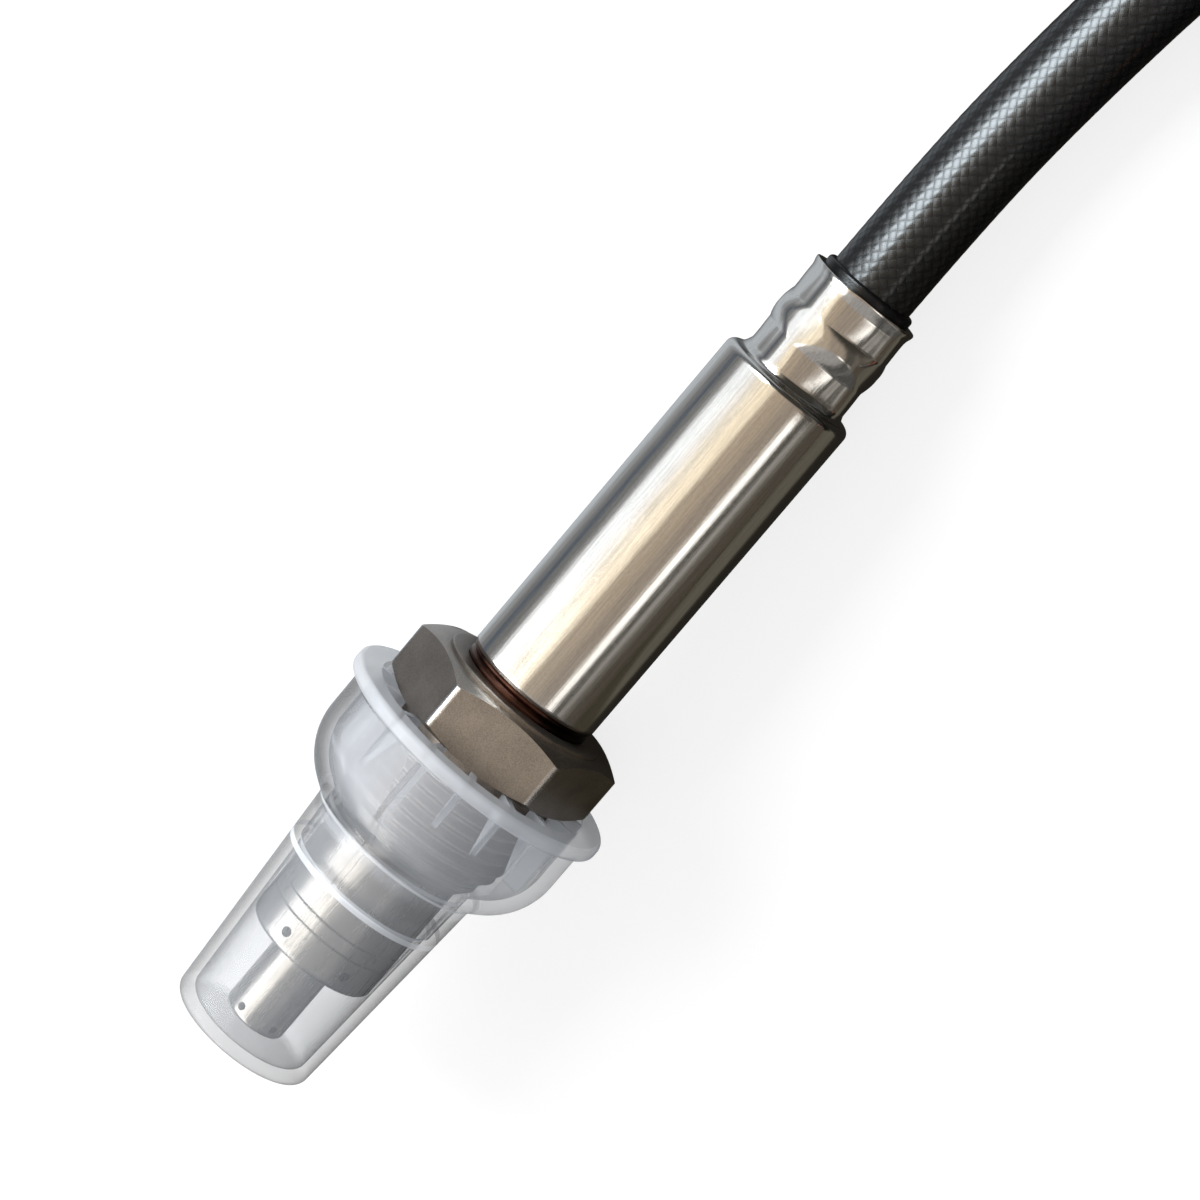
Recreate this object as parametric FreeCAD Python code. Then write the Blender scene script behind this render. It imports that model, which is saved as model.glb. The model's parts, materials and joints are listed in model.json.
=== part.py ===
import FreeCAD, Part
import math
import os

from FreeCAD import Placement, Rotation, Vector

# Nitrogen oxide sensor: a heated ceramic probe in a steel shell, held by a free
# turning screw nut, with a push-on shipping cap over its gas inlet and a braided lead.
# Every piece is drawn in the probe's own frame, in millimetres: the probe's axis is X,
# x = 0 is the underside of the nut's hexagon, +X points to the lead and -X to the tip.
# Angles round the axis are counted from +Z towards -Y.

# Screw nut
HEX_ACROSS_FLATS = 22.0
HEX_HEIGHT = 6.6
HEX_CHAMFER_DEG = 28.0
HEX_CHAMFER_CROWN = 0.05
HEX_CORNER_ROOM = 0.5
HEX_TURN_DEG = 3.5
THREAD_RADIUS = 10.0
THREAD_REACH = 10.6
THREAD_CHAMFER = 0.8
RELIEF_RADIUS = 9.0
RELIEF_WIDTH = 1.5
NUT_RING_RADIUS = 9.4
NUT_RING_HEIGHT = 0.4
NUT_RUNNING_GAP = 0.2
NUT_END_PLAY = 0.12

# Steel shell that carries the ceramics
NECK_RADIUS = 7.2
SEAL_FLANGE_RADIUS = 8.8
SEAL_FLANGE_RIM = 1.3
SEAL_CONE_LENGTH = 1.5
SPIGOT_LENGTH = 3.6
COLLAR_RADIUS = 7.45
COLLAR_GROOVE = 0.3
COLLAR_WIDTH = 1.2
SHELL_EDGE_ROUND = 0.2
COLLAR_EDGE_ROUND = 0.1
TOP_SPIGOT_LENGTH = 3.2
PACKING_BORE_RADIUS = 5.2
TIP_BORE_RADIUS = 4.2
PACKING_FLOOR_X = -9.0

# Gas inlet tubes
OUTER_TUBE_RADIUS = 7.45
OUTER_TUBE_WALL = 0.4
OUTER_TUBE_END_ROUND = 0.7
OUTER_TUBE_END_X = -28.1
OUTER_TUBE_RING_XS = (-22.6, -24.2)
OUTER_HOLE_RADIUS = 0.55
OUTER_HOLE_X = -26.1
OUTER_HOLE_COUNT = 6
OUTER_HOLE_TURN_DEG = -24.0
INNER_TUBE_RADIUS = 3.5
INNER_TUBE_WALL = 0.35
INNER_TUBE_END_ROUND = 0.7
INNER_FLARE_LENGTH = 2.6
INNER_FLARE_RISE = 0.6
INNER_TUBE_END_X = -37.7
INNER_TUBE_GAP = 0.4
INNER_HOLE_RADIUS = 0.45
INNER_HOLE_X = -36.4
INNER_HOLE_COUNT = 5
INNER_HOLE_TURN_DEG = -28.0
END_HOLE_RADIUS = 0.6
BEND_ROUND = 0.2

# Ceramic sensor element and the packing that holds it
ELEMENT_WIDTH = 4.4
ELEMENT_THICKNESS = 1.6
ELEMENT_TIP_X = -34.5
ELEMENT_END_X = 34.0
ELEMENT_BEVEL = 0.35
FIT_GAP = 0.05
PACKING_BEVEL = 0.25
LOWER_BUSH_LENGTH = 7.0
LOWER_TALC_LENGTH = 3.0
MIDDLE_BUSH_LENGTH = 3.4
UPPER_TALC_LENGTH = 2.6
UPPER_BUSH_LENGTH = 3.4
LOCK_RING_LENGTH = 0.9
LOCK_RING_BORE = 3.6

# Sleeve with its crimped neck
SLEEVE_RADIUS = 7.6
SLEEVE_WALL = 0.5
SLEEVE_LENGTH = 40.0
SHOULDER_ROUND = 0.9
SHOULDER_ROOT_ROUND = 0.4
MOUTH_ROUND = 0.15
CRIMP_RADIUS = 6.25
CRIMP_WALL = 1.0
CRIMP_LENGTH = 11.4
CRIMP_LIP = 0.16
CRIMP_LIP_LENGTH = 0.3
CRIMP_LIP_RISE = 0.6
JAW_COUNT = 4
JAW_TURN_DEG = 20.0
LOWER_POCKET = (0.5, 4.2, 5.55)
UPPER_POCKET = (7.0, 10.6, 5.7)
POCKET_SLOPE = 0.9

# Contacts and leads inside the sleeve
HOLDER_START_X = 21.0
HOLDER_LENGTH = 18.0
HOLDER_RADIUS = 6.4
HOLDER_SPLIT = 0.6
CONTACT_COUNT_PER_SIDE = 4
CONTACT_PITCH = 1.1
CONTACT_WIDTH = 0.7
CONTACT_THICKNESS = 0.25
CONTACT_BOW = 0.9
HOLDER_FLOOR = 1.5
CONTACT_END_ROOM = 0.5
CONTACT_BEND_LENGTH = 2.0
CONTACT_PAD_LENGTH = 2.5
CONTACT_PAD_FROM = 5.0
WIRE_FAN_DEG = 42.0
CLIP_WALL = 0.4
CLIP_LENGTH = 8.0
CLIP_OPENING_DEG = 50.0
FERRULE_RADIUS = 0.85
FERRULE_LENGTH = 4.4
WIRE_RADIUS = 0.7
WIRE_CIRCLE_RADIUS = 3.1
GROMMET_SKIRT_RADIUS = 7.0
GROMMET_SKIRT_LENGTH = 1.9
GROMMET_SKIRT_STEP = 1.2
GROMMET_ROUND = 0.4
GROMMET_PROUD = 1.0

# Shipping cap
CAP_FLANGE_RADIUS = 15.7
CAP_FLANGE_THICKNESS = 1.6
CAP_EDGE_ROUND = 0.5
CAP_WALL = 1.0
BELL_RADIUS = 14.5
BELL_WALL = 1.5
BELL_CORNER_X = -10.2
BELL_END_X = -13.8
BELL_ROUND = 7.5
BELL_ROOT_ROUND = 0.8
CAP_TUBE_GAP = 0.2
CONE_TAPER = 0.06
CAP_END_GAP = 1.0
CAP_END_WALL = 1.1
CAP_END_ROUND = 1.0
CAP_STEP_X = -18.9
CAP_STEP = 0.3
CAP_FIN_COUNT = 16
CAP_LONG_FIN_EVERY = 4
CAP_FIN_TURN_DEG = -16.5
CAP_FIN_WIDTH = 0.7
CAP_FIN_LENGTH = 7.0
CAP_TOE_GAP = 0.12
CAP_TOE_LENGTH = 1.2
CAP_TOE_SLOPE = 0.35
CAP_THREAD_GAP = 0.65
CAP_RIDGE_END_X = -27.0
CAP_RIDGE_HEIGHT = 0.3

# How the probe lies: on the cap's flange and on its lead
REST_TILT_DEG = 7.5

# Braided lead, its points counted from where it leaves the grommet. Its first run goes
# straight on from the probe down to the height at which the lead lies.
CABLE_RADIUS = 4.62
CABLE_FLOOR_GAP = 1.2
CABLE_ROUTE = (
    (28.0, -0.95),
    (46.0, -3.0),
    (64.0, -7.3),
    (80.0, -13.2),
    (92.4, -19.6),
)
COIL_RADIUS = 50.0
COIL_UPPER_TURN_DEG = 180.0
COIL_RISE_DEG = 97.0
TIE_WIDTH = 8.0
TIE_THICKNESS = 0.9
TIE_GAP = 0.28
TIE_AT_DEG = 95.0
TIE_ROUND = 2.3
TIE_FLAP_LENGTH = 10.0
TIE_FLAP_ROUND = 0.4

# Plain connector on the lead's end
CONNECTOR_WIDTH = 24.0
CONNECTOR_HEIGHT = 16.8
CONNECTOR_LENGTH = 26.0
CONNECTOR_ROUND = 2.4
NOSE_LENGTH = 8.0
NOSE_INSET = 1.8
NOSE_ROUND = 1.6
BOOT_LENGTH = 14.0
BOOT_SMALL_RADIUS = 5.6
BOOT_LARGE_RADIUS = 7.9
BOOT_RIB_COUNT = 4
TERMINAL_ROWS = 2
TERMINALS_PER_ROW = 4
TERMINAL_PITCH = 4.2
TERMINAL_RADIUS = 1.1
TERMINAL_WALL = 0.35
TERMINAL_DEPTH = 9.0
LATCH_WIDTH = 9.0
LATCH_LENGTH = 20.0
LATCH_THICKNESS = 1.6
LATCH_GAP = 1.2
LATCH_FOOT_LENGTH = 3.0
LATCH_ROUND = 0.6
RAIL_WIDTH = 1.6
RAIL_GAP = 0.6
RAIL_INSET = 1.0
TERMINAL_RECESS = 0.6
BOOT_GROOVE_DEPTH = 0.8
BOOT_GROOVE_WIDTH = 0.6
BOOT_ROUND = 0.2
BOOT_END_WIDTH = 0.6
SEAL_WIDTH = 2.4
SEAL_PROUD = 0.7
CONNECTOR_LIFT = 0.13

# Places along the axis that several pieces share
HEX_TOP_X = HEX_HEIGHT
NUT_TOP_X = HEX_TOP_X + NUT_RING_HEIGHT
NUT_BORE_RADIUS = NECK_RADIUS + NUT_RUNNING_GAP
NUT_END_X = -THREAD_REACH
SEAL_TOP_X = NUT_END_X - NUT_END_PLAY
SEAL_CONE_X = SEAL_TOP_X - SEAL_FLANGE_RIM
SEAL_END_X = SEAL_CONE_X - SEAL_CONE_LENGTH
SPIGOT_END_X = SEAL_END_X - SPIGOT_LENGTH
SPIGOT_RADIUS = OUTER_TUBE_RADIUS - OUTER_TUBE_WALL - FIT_GAP
COLLAR_START_X = NUT_TOP_X + NUT_END_PLAY
SLEEVE_START_X = COLLAR_START_X + COLLAR_WIDTH
SHELL_END_X = SLEEVE_START_X + TOP_SPIGOT_LENGTH
CAP_END_X = INNER_TUBE_END_X - CAP_END_GAP - CAP_END_WALL
SHOULDER_X = SLEEVE_START_X + SLEEVE_LENGTH
CRIMP_END_X = SHOULDER_X + CRIMP_LENGTH
CABLE_START_X = CRIMP_END_X + GROMMET_PROUD
GROMMET_RADIUS = CRIMP_RADIUS - CRIMP_WALL
HOLDER_END_X = HOLDER_START_X + HOLDER_LENGTH
FERRULE_END_X = HOLDER_END_X + FERRULE_LENGTH
GROMMET_START_X = SHOULDER_X - SLEEVE_WALL - FIT_GAP - GROMMET_SKIRT_LENGTH
ALONG = Vector(1, 0, 0)


def rounded_wire(corners):
    """Closed wire in the XY plane through (x, y, radius) corners, each rounded by its radius."""
    spots = [Vector(c[0], c[1], 0) for c in corners]
    radii = [c[2] if len(c) > 2 else 0.0 for c in corners]
    count = len(spots)
    starts, ends, middles = [], [], []
    for i, spot in enumerate(spots):
        back = (spots[i - 1] - spot).normalize()
        ahead = (spots[(i + 1) % count] - spot).normalize()
        if radii[i] <= 0:
            starts.append(spot)
            ends.append(spot)
            middles.append(None)
            continue
        half = back.getAngle(ahead) / 2
        cut = radii[i] / math.tan(half)
        bisector = (back + ahead).normalize()
        centre = spot + bisector * (radii[i] / math.sin(half))
        starts.append(spot + back * cut)
        ends.append(spot + ahead * cut)
        middles.append(centre - bisector * radii[i])
    edges = []
    for i in range(count):
        if middles[i] is not None:
            edges.append(Part.Arc(starts[i], middles[i], ends[i]).toShape())
        following = starts[(i + 1) % count]
        if ends[i].distanceToPoint(following) > 1e-6:
            edges.append(Part.LineSegment(ends[i], following).toShape())
    return Part.Wire(edges)


def turned(corners):
    """Solid of revolution about the probe's axis of an (x, radius, rounding) outline."""
    return Part.Face(rounded_wire(corners)).revolve(Vector(0, 0, 0), ALONG, 360)


def rod(radius, x_from, x_to, y=0.0, z=0.0):
    """Round bar parallel to the probe's axis."""
    return Part.makeCylinder(radius, x_to - x_from, Vector(x_from, y, z), ALONG)


def block(x_from, x_to, width, height, y=0.0, z=0.0):
    """Box along the axis, centred on (y, z)."""
    corner = Vector(x_from, y - width / 2, z - height / 2)
    return Part.makeBox(x_to - x_from, width, height, corner)


def about_axis(shape, angle_deg):
    """Copy of a shape turned about the probe's axis, from +Z towards -Y."""
    copy = shape.copy()
    copy.rotate(Vector(0, 0, 0), ALONG, angle_deg)
    return copy


def ring_of(shape, count, first_deg=0.0):
    """Equally spaced copies of a shape round the axis, first at first_deg."""
    return [about_axis(shape, first_deg + i * 360.0 / count) for i in range(count)]


def hexagon_prism(across_flats, x_from, x_to):
    """Hexagonal bar along the axis with one flat facing +Z."""
    corner_radius = across_flats / math.sqrt(3)
    spots = []
    for i in range(6):
        angle = math.radians(30 + 60 * i)
        spots.append(Vector(x_from, corner_radius * math.sin(angle), corner_radius * math.cos(angle)))
    face = Part.Face(Part.makePolygon(spots + spots[:1]))
    return face.extrude(ALONG * (x_to - x_from))


def chamfer_envelope(across_flats, x_from, x_to):
    """Turned body whose slightly crowned ends chamfer the corners of a hexagon."""
    low = across_flats / 2
    high = across_flats / math.sqrt(3) + HEX_CORNER_ROOM
    slope = (high - low) * math.tan(math.radians(HEX_CHAMFER_DEG))
    near, far = Vector(x_from, low, 0), Vector(x_from + slope, high, 0)
    far_top, near_top = Vector(x_to - slope, high, 0), Vector(x_to, low, 0)
    crown = Vector(-HEX_CHAMFER_CROWN, HEX_CHAMFER_CROWN, 0)
    crown_top = Vector(HEX_CHAMFER_CROWN, HEX_CHAMFER_CROWN, 0)
    foot, head = Vector(x_from, 0, 0), Vector(x_to, 0, 0)
    outline = Part.Wire([
        Part.makeLine(foot, near),
        Part.Arc(near, (near + far) / 2 + crown, far).toShape(),
        Part.makeLine(far, far_top),
        Part.Arc(far_top, (far_top + near_top) / 2 + crown_top, near_top).toShape(),
        Part.makeLine(near_top, head),
        Part.makeLine(head, foot),
    ])
    return Part.Face(outline).revolve(Vector(0, 0, 0), ALONG, 360)


def union_nut():
    """Screw nut that turns freely round the shell's neck."""
    head = hexagon_prism(HEX_ACROSS_FLATS, 0.0, HEX_TOP_X)
    head = head.common(chamfer_envelope(HEX_ACROSS_FLATS, 0.0, HEX_TOP_X))
    head = about_axis(head, HEX_TURN_DEG)
    shank = turned((
        (HEX_TOP_X / 2, 0), (HEX_TOP_X / 2, RELIEF_RADIUS), (-RELIEF_WIDTH, RELIEF_RADIUS),
        (-RELIEF_WIDTH, THREAD_RADIUS), (NUT_END_X + THREAD_CHAMFER, THREAD_RADIUS),
        (NUT_END_X, THREAD_RADIUS - THREAD_CHAMFER), (NUT_END_X, 0),
    ))
    ring = rod(NUT_RING_RADIUS, HEX_TOP_X / 2, NUT_TOP_X)
    bore = rod(NUT_BORE_RADIUS, NUT_END_X - 1, NUT_TOP_X + 1)
    return head.fuse([shank, ring]).cut(bore).removeSplitter()


def shell():
    """Turned steel body with the sealing cone, the neck for the nut and the weld collar."""
    body = turned((
        (SPIGOT_END_X, TIP_BORE_RADIUS), (SPIGOT_END_X, SPIGOT_RADIUS, SHELL_EDGE_ROUND),
        (SEAL_END_X, SPIGOT_RADIUS), (SEAL_END_X, OUTER_TUBE_RADIUS),
        (SEAL_CONE_X, SEAL_FLANGE_RADIUS, SHELL_EDGE_ROUND),
        (SEAL_TOP_X, SEAL_FLANGE_RADIUS, SHELL_EDGE_ROUND),
        (SEAL_TOP_X, NECK_RADIUS), (COLLAR_START_X, NECK_RADIUS),
        (COLLAR_START_X, COLLAR_RADIUS, COLLAR_EDGE_ROUND),
        (SLEEVE_START_X, COLLAR_RADIUS, COLLAR_EDGE_ROUND),
        (SLEEVE_START_X, SLEEVE_RADIUS - SLEEVE_WALL - FIT_GAP),
        (SHELL_END_X, SLEEVE_RADIUS - SLEEVE_WALL - FIT_GAP, SHELL_EDGE_ROUND),
        (SHELL_END_X, PACKING_BORE_RADIUS), (PACKING_FLOOR_X, PACKING_BORE_RADIUS),
        (PACKING_FLOOR_X, TIP_BORE_RADIUS),
    ))
    middle = COLLAR_START_X + COLLAR_WIDTH / 2
    groove = turned((
        (middle - COLLAR_GROOVE, COLLAR_RADIUS + 1), (middle - COLLAR_GROOVE, COLLAR_RADIUS),
        (middle, COLLAR_RADIUS - COLLAR_GROOVE), (middle + COLLAR_GROOVE, COLLAR_RADIUS),
        (middle + COLLAR_GROOVE, COLLAR_RADIUS + 1),
    ))
    return body.cut(groove)


def outer_tube():
    """Outer gas tube: a drawn tube with an inturned end, two rolled rings and a row of holes."""
    inner = OUTER_TUBE_RADIUS - OUTER_TUBE_WALL
    mouth = INNER_TUBE_RADIUS + INNER_TUBE_GAP
    tube = turned((
        (SEAL_END_X, inner), (SEAL_END_X, OUTER_TUBE_RADIUS),
        (OUTER_TUBE_END_X, OUTER_TUBE_RADIUS, OUTER_TUBE_END_ROUND), (OUTER_TUBE_END_X, mouth),
        (OUTER_TUBE_END_X + OUTER_TUBE_WALL, mouth),
        (OUTER_TUBE_END_X + OUTER_TUBE_WALL, inner, OUTER_TUBE_END_ROUND - OUTER_TUBE_WALL),
    ))
    for x in OUTER_TUBE_RING_XS:
        depth = OUTER_TUBE_WALL / 3
        tube = tube.cut(turned((
            (x - depth, OUTER_TUBE_RADIUS + 1), (x - depth, OUTER_TUBE_RADIUS),
            (x, OUTER_TUBE_RADIUS - depth), (x + depth, OUTER_TUBE_RADIUS),
            (x + depth, OUTER_TUBE_RADIUS + 1),
        )))
    hole_foot = Vector(OUTER_HOLE_X, 0, 0)
    hole = Part.makeCylinder(OUTER_HOLE_RADIUS, OUTER_TUBE_RADIUS + 1, hole_foot, Vector(0, 0, 1))
    return tube.cut(ring_of(hole, OUTER_HOLE_COUNT, OUTER_HOLE_TURN_DEG))


def inner_tube():
    """Inner gas tube: a closed thimble with a flared root pressed into the shell."""
    inner = INNER_TUBE_RADIUS - INNER_TUBE_WALL
    flare = TIP_BORE_RADIUS - FIT_GAP
    flare_start = SPIGOT_END_X - INNER_FLARE_RISE
    flare_end = SPIGOT_END_X + INNER_FLARE_LENGTH
    tube = turned((
        (INNER_TUBE_END_X, 0), (INNER_TUBE_END_X, INNER_TUBE_RADIUS, INNER_TUBE_END_ROUND),
        (flare_start, INNER_TUBE_RADIUS, BEND_ROUND), (SPIGOT_END_X, flare, BEND_ROUND),
        (flare_end, flare), (flare_end, flare - INNER_TUBE_WALL),
        (SPIGOT_END_X, flare - INNER_TUBE_WALL, BEND_ROUND), (flare_start, inner, BEND_ROUND),
        (INNER_TUBE_END_X + INNER_TUBE_WALL, inner, INNER_TUBE_END_ROUND - INNER_TUBE_WALL),
        (INNER_TUBE_END_X + INNER_TUBE_WALL, 0),
    ))
    hole_foot = Vector(INNER_HOLE_X, 0, 0)
    hole = Part.makeCylinder(INNER_HOLE_RADIUS, INNER_TUBE_RADIUS + 1, hole_foot, Vector(0, 0, 1))
    end_hole = rod(END_HOLE_RADIUS, INNER_TUBE_END_X - 1, INNER_TUBE_END_X + 1)
    return tube.cut(ring_of(hole, INNER_HOLE_COUNT, INNER_HOLE_TURN_DEG) + [end_hole])


def element_slot():
    """Space that the sensor element takes in the pieces that hold it."""
    return block(
        ELEMENT_TIP_X, ELEMENT_END_X + 1, ELEMENT_WIDTH + 2 * FIT_GAP, ELEMENT_THICKNESS + 2 * FIT_GAP
    )


def sensor_element():
    """Flat ceramic stick with bevelled tip edges."""
    stick = block(ELEMENT_TIP_X, ELEMENT_END_X, ELEMENT_WIDTH, ELEMENT_THICKNESS)
    tip_edges = [e for e in stick.Edges if e.BoundBox.XMax < ELEMENT_TIP_X + 0.01]
    return stick.makeChamfer(ELEMENT_BEVEL, tip_edges)


def packing():
    """Ceramic bushes and talc rings stacked in the shell's bore, floor first."""
    lengths = (
        ("lower_ceramic_bush", LOWER_BUSH_LENGTH, PACKING_BEVEL),
        ("lower_talc_ring", LOWER_TALC_LENGTH, 0.0),
        ("middle_ceramic_bush", MIDDLE_BUSH_LENGTH, PACKING_BEVEL),
        ("upper_talc_ring", UPPER_TALC_LENGTH, 0.0),
        ("upper_ceramic_bush", UPPER_BUSH_LENGTH, PACKING_BEVEL),
    )
    pieces = {}
    start = PACKING_FLOOR_X
    radius = PACKING_BORE_RADIUS - FIT_GAP
    for name, length, bevel in lengths:
        bar = rod(radius, start, start + length)
        if bevel:
            bar = bar.makeChamfer(bevel, [e for e in bar.Edges if e.BoundBox.XLength < 0.01])
        pieces[name] = bar.cut(element_slot())
        start += length
    pieces["lock_ring"] = rod(radius, start, start + LOCK_RING_LENGTH).cut(
        rod(LOCK_RING_BORE, start - 1, start + LOCK_RING_LENGTH + 1)
    )
    return pieces


def crimp_pocket(pocket):
    """Wedge-sided bar that one crimping jaw presses into the neck, over +Z."""
    low, high, floor = pocket
    top = CRIMP_RADIUS + CRIMP_LIP + 1
    rise = (top - floor) * POCKET_SLOPE
    outline = [
        Vector(SHOULDER_X + low - rise + POCKET_SLOPE / 2, 0, top),
        Vector(SHOULDER_X + low + POCKET_SLOPE / 2, 0, floor),
        Vector(SHOULDER_X + high - POCKET_SLOPE / 2, 0, floor),
        Vector(SHOULDER_X + high + rise - POCKET_SLOPE / 2, 0, top),
    ]
    half_width = math.sqrt(CRIMP_RADIUS ** 2 - floor ** 2)
    face = Part.Face(Part.makePolygon(outline + outline[:1]))
    bar = face.extrude(Vector(0, 2 * half_width, 0))
    bar.translate(Vector(0, -half_width, 0))
    return bar


def sleeve():
    """Deep drawn sleeve: tube, rounded shoulder and a neck crimped on the grommet by four jaws."""
    inner = SLEEVE_RADIUS - SLEEVE_WALL
    lip_x = CRIMP_END_X - CRIMP_LIP_LENGTH
    drawn = turned((
        (SLEEVE_START_X, inner), (SLEEVE_START_X, SLEEVE_RADIUS, MOUTH_ROUND),
        (SHOULDER_X, SLEEVE_RADIUS, SHOULDER_ROUND), (SHOULDER_X, CRIMP_RADIUS, SHOULDER_ROOT_ROUND),
        (lip_x - CRIMP_LIP_RISE, CRIMP_RADIUS, MOUTH_ROUND), (lip_x, CRIMP_RADIUS + CRIMP_LIP, MOUTH_ROUND),
        (CRIMP_END_X, CRIMP_RADIUS), (CRIMP_END_X, GROMMET_RADIUS + FIT_GAP),
        (SHOULDER_X - SLEEVE_WALL, GROMMET_RADIUS + FIT_GAP, MOUTH_ROUND),
        (SHOULDER_X - SLEEVE_WALL, inner, SHOULDER_ROUND - SLEEVE_WALL),
    ))
    jaws = ring_of(crimp_pocket(LOWER_POCKET), JAW_COUNT, JAW_TURN_DEG)
    jaws += ring_of(crimp_pocket(UPPER_POCKET), JAW_COUNT, JAW_TURN_DEG)
    return drawn.cut(jaws)


def contact_places():
    """Crosswise places of the contacts, one row on each face of the element."""
    middle = (CONTACT_COUNT_PER_SIDE - 1) / 2
    return [
        ((i - middle) * CONTACT_PITCH, side)
        for side in (1, -1)
        for i in range(CONTACT_COUNT_PER_SIDE)
    ]


def contact_height():
    """Height over the axis at which a contact blade lies in its half of the holder."""
    return ELEMENT_THICKNESS / 2 + FIT_GAP + CONTACT_BOW


def contact_holder(side):
    """One ceramic half of the contact holder, with a groove for each contact."""
    bar = rod(HOLDER_RADIUS, HOLDER_START_X, HOLDER_END_X)
    half = bar.common(block(
        HOLDER_START_X, HOLDER_END_X, 2 * HOLDER_RADIUS, HOLDER_RADIUS,
        z=side * (HOLDER_SPLIT / 2 + HOLDER_RADIUS / 2),
    ))
    half = half.cut(element_slot())
    depth = contact_height() + CONTACT_THICKNESS / 2 + FIT_GAP
    for y, row in contact_places():
        if row == side:
            groove = block(
                HOLDER_START_X + HOLDER_FLOOR, HOLDER_END_X + 1, CONTACT_WIDTH + 2 * FIT_GAP, depth,
                y=y, z=side * depth / 2,
            )
            half = half.cut(groove)
    return half


def contact_blade(y, side):
    """Bowed spring blade from the element's pad to its lead's ferrule."""
    pad_z = ELEMENT_THICKNESS / 2 + FIT_GAP + CONTACT_THICKNESS / 2
    back_z = contact_height()
    start = HOLDER_START_X + HOLDER_FLOOR + CONTACT_END_ROOM
    pad = HOLDER_START_X + HOLDER_FLOOR + CONTACT_PAD_FROM
    pad_end = pad + CONTACT_PAD_LENGTH
    spots = [
        (start, back_z), (pad - CONTACT_BEND_LENGTH, back_z), (pad, pad_z), (pad_end, pad_z),
        (pad_end + CONTACT_BEND_LENGTH, back_z), (HOLDER_END_X, back_z),
    ]
    half = CONTACT_THICKNESS / 2
    upper = [Vector(x, y - CONTACT_WIDTH / 2, side * (z + half)) for x, z in spots]
    lower = [Vector(x, y - CONTACT_WIDTH / 2, side * (z - half)) for x, z in reversed(spots)]
    outline = upper + lower + upper[:1]
    return Part.Face(Part.makePolygon(outline)).extrude(Vector(0, CONTACT_WIDTH, 0))


def wire_places():
    """Places round the axis where the leads run through ferrules and grommet."""
    places = []
    for y, side in contact_places():
        angle = math.radians(90 * side - y / CONTACT_PITCH * side * WIRE_FAN_DEG)
        places.append((WIRE_CIRCLE_RADIUS * math.cos(angle), WIRE_CIRCLE_RADIUS * math.sin(angle)))
    return places


def holder_clip():
    """Open steel ring that squeezes the holder's halves together."""
    middle = (HOLDER_START_X + HOLDER_END_X) / 2
    inner = HOLDER_RADIUS + FIT_GAP
    ring = rod(inner + CLIP_WALL, middle - CLIP_LENGTH / 2, middle + CLIP_LENGTH / 2)
    ring = ring.cut(rod(inner, middle - CLIP_LENGTH, middle + CLIP_LENGTH))
    opening = 2 * HOLDER_RADIUS * math.sin(math.radians(CLIP_OPENING_DEG / 2))
    return ring.cut(block(
        middle - CLIP_LENGTH, middle + CLIP_LENGTH, HOLDER_RADIUS, opening, y=HOLDER_RADIUS
    ))


def ferrules():
    """Crimped ferrules between the contacts and the leads."""
    return Part.makeCompound([
        rod(FERRULE_RADIUS, HOLDER_END_X, FERRULE_END_X, y, z) for y, z in wire_places()
    ])


def lead_wires():
    """Insulated leads from the ferrules through the grommet."""
    return Part.makeCompound([
        rod(WIRE_RADIUS, FERRULE_END_X, CABLE_START_X, y, z) for y, z in wire_places()
    ])


def grommet():
    """Rubber plug crimped in the sleeve's neck, with a skirt under the shoulder."""
    plug = turned((
        (GROMMET_START_X, 0), (GROMMET_START_X, GROMMET_SKIRT_RADIUS, GROMMET_ROUND),
        (GROMMET_START_X + GROMMET_SKIRT_LENGTH, GROMMET_SKIRT_RADIUS - GROMMET_SKIRT_STEP, GROMMET_ROUND),
        (GROMMET_START_X + GROMMET_SKIRT_LENGTH, GROMMET_RADIUS),
        (CABLE_START_X, GROMMET_RADIUS, GROMMET_ROUND), (CABLE_START_X, 0),
    ))
    return plug.cut([
        rod(WIRE_RADIUS + FIT_GAP, GROMMET_START_X - 1, CABLE_START_X + 1, y, z) for y, z in wire_places()
    ])


def cone_radius(x):
    """Outer radius of the cap's cone at x."""
    over_tube = OUTER_TUBE_RADIUS + CAP_TUBE_GAP + CAP_STEP + CAP_WALL
    return over_tube + (x - OUTER_TUBE_END_X) * CONE_TAPER


def bell_corners(inset, cone_inset):
    """Corners where the bell turns in and where it meets the cone, inset from the outside."""
    slope = math.atan2(BELL_RADIUS - cone_radius(BELL_END_X), BELL_CORNER_X - BELL_END_X)
    corner_x = BELL_CORNER_X + inset * math.tan(slope / 2)
    root_x = BELL_END_X + inset / math.sin(slope) - cone_inset / math.tan(slope)
    return [
        (corner_x, BELL_RADIUS - inset, BELL_ROUND - inset),
        (root_x, cone_radius(root_x) - cone_inset, BELL_ROOT_ROUND),
    ]


def flat_rib(corners):
    """Rib of (x, radius) corners over +Z, one fin wide."""
    outline = [Vector(x, 0, radius) for x, radius in corners]
    rib = Part.Face(Part.makePolygon(outline + outline[:1])).extrude(Vector(0, CAP_FIN_WIDTH, 0))
    rib.translate(Vector(0, -CAP_FIN_WIDTH / 2, 0))
    return rib


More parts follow.
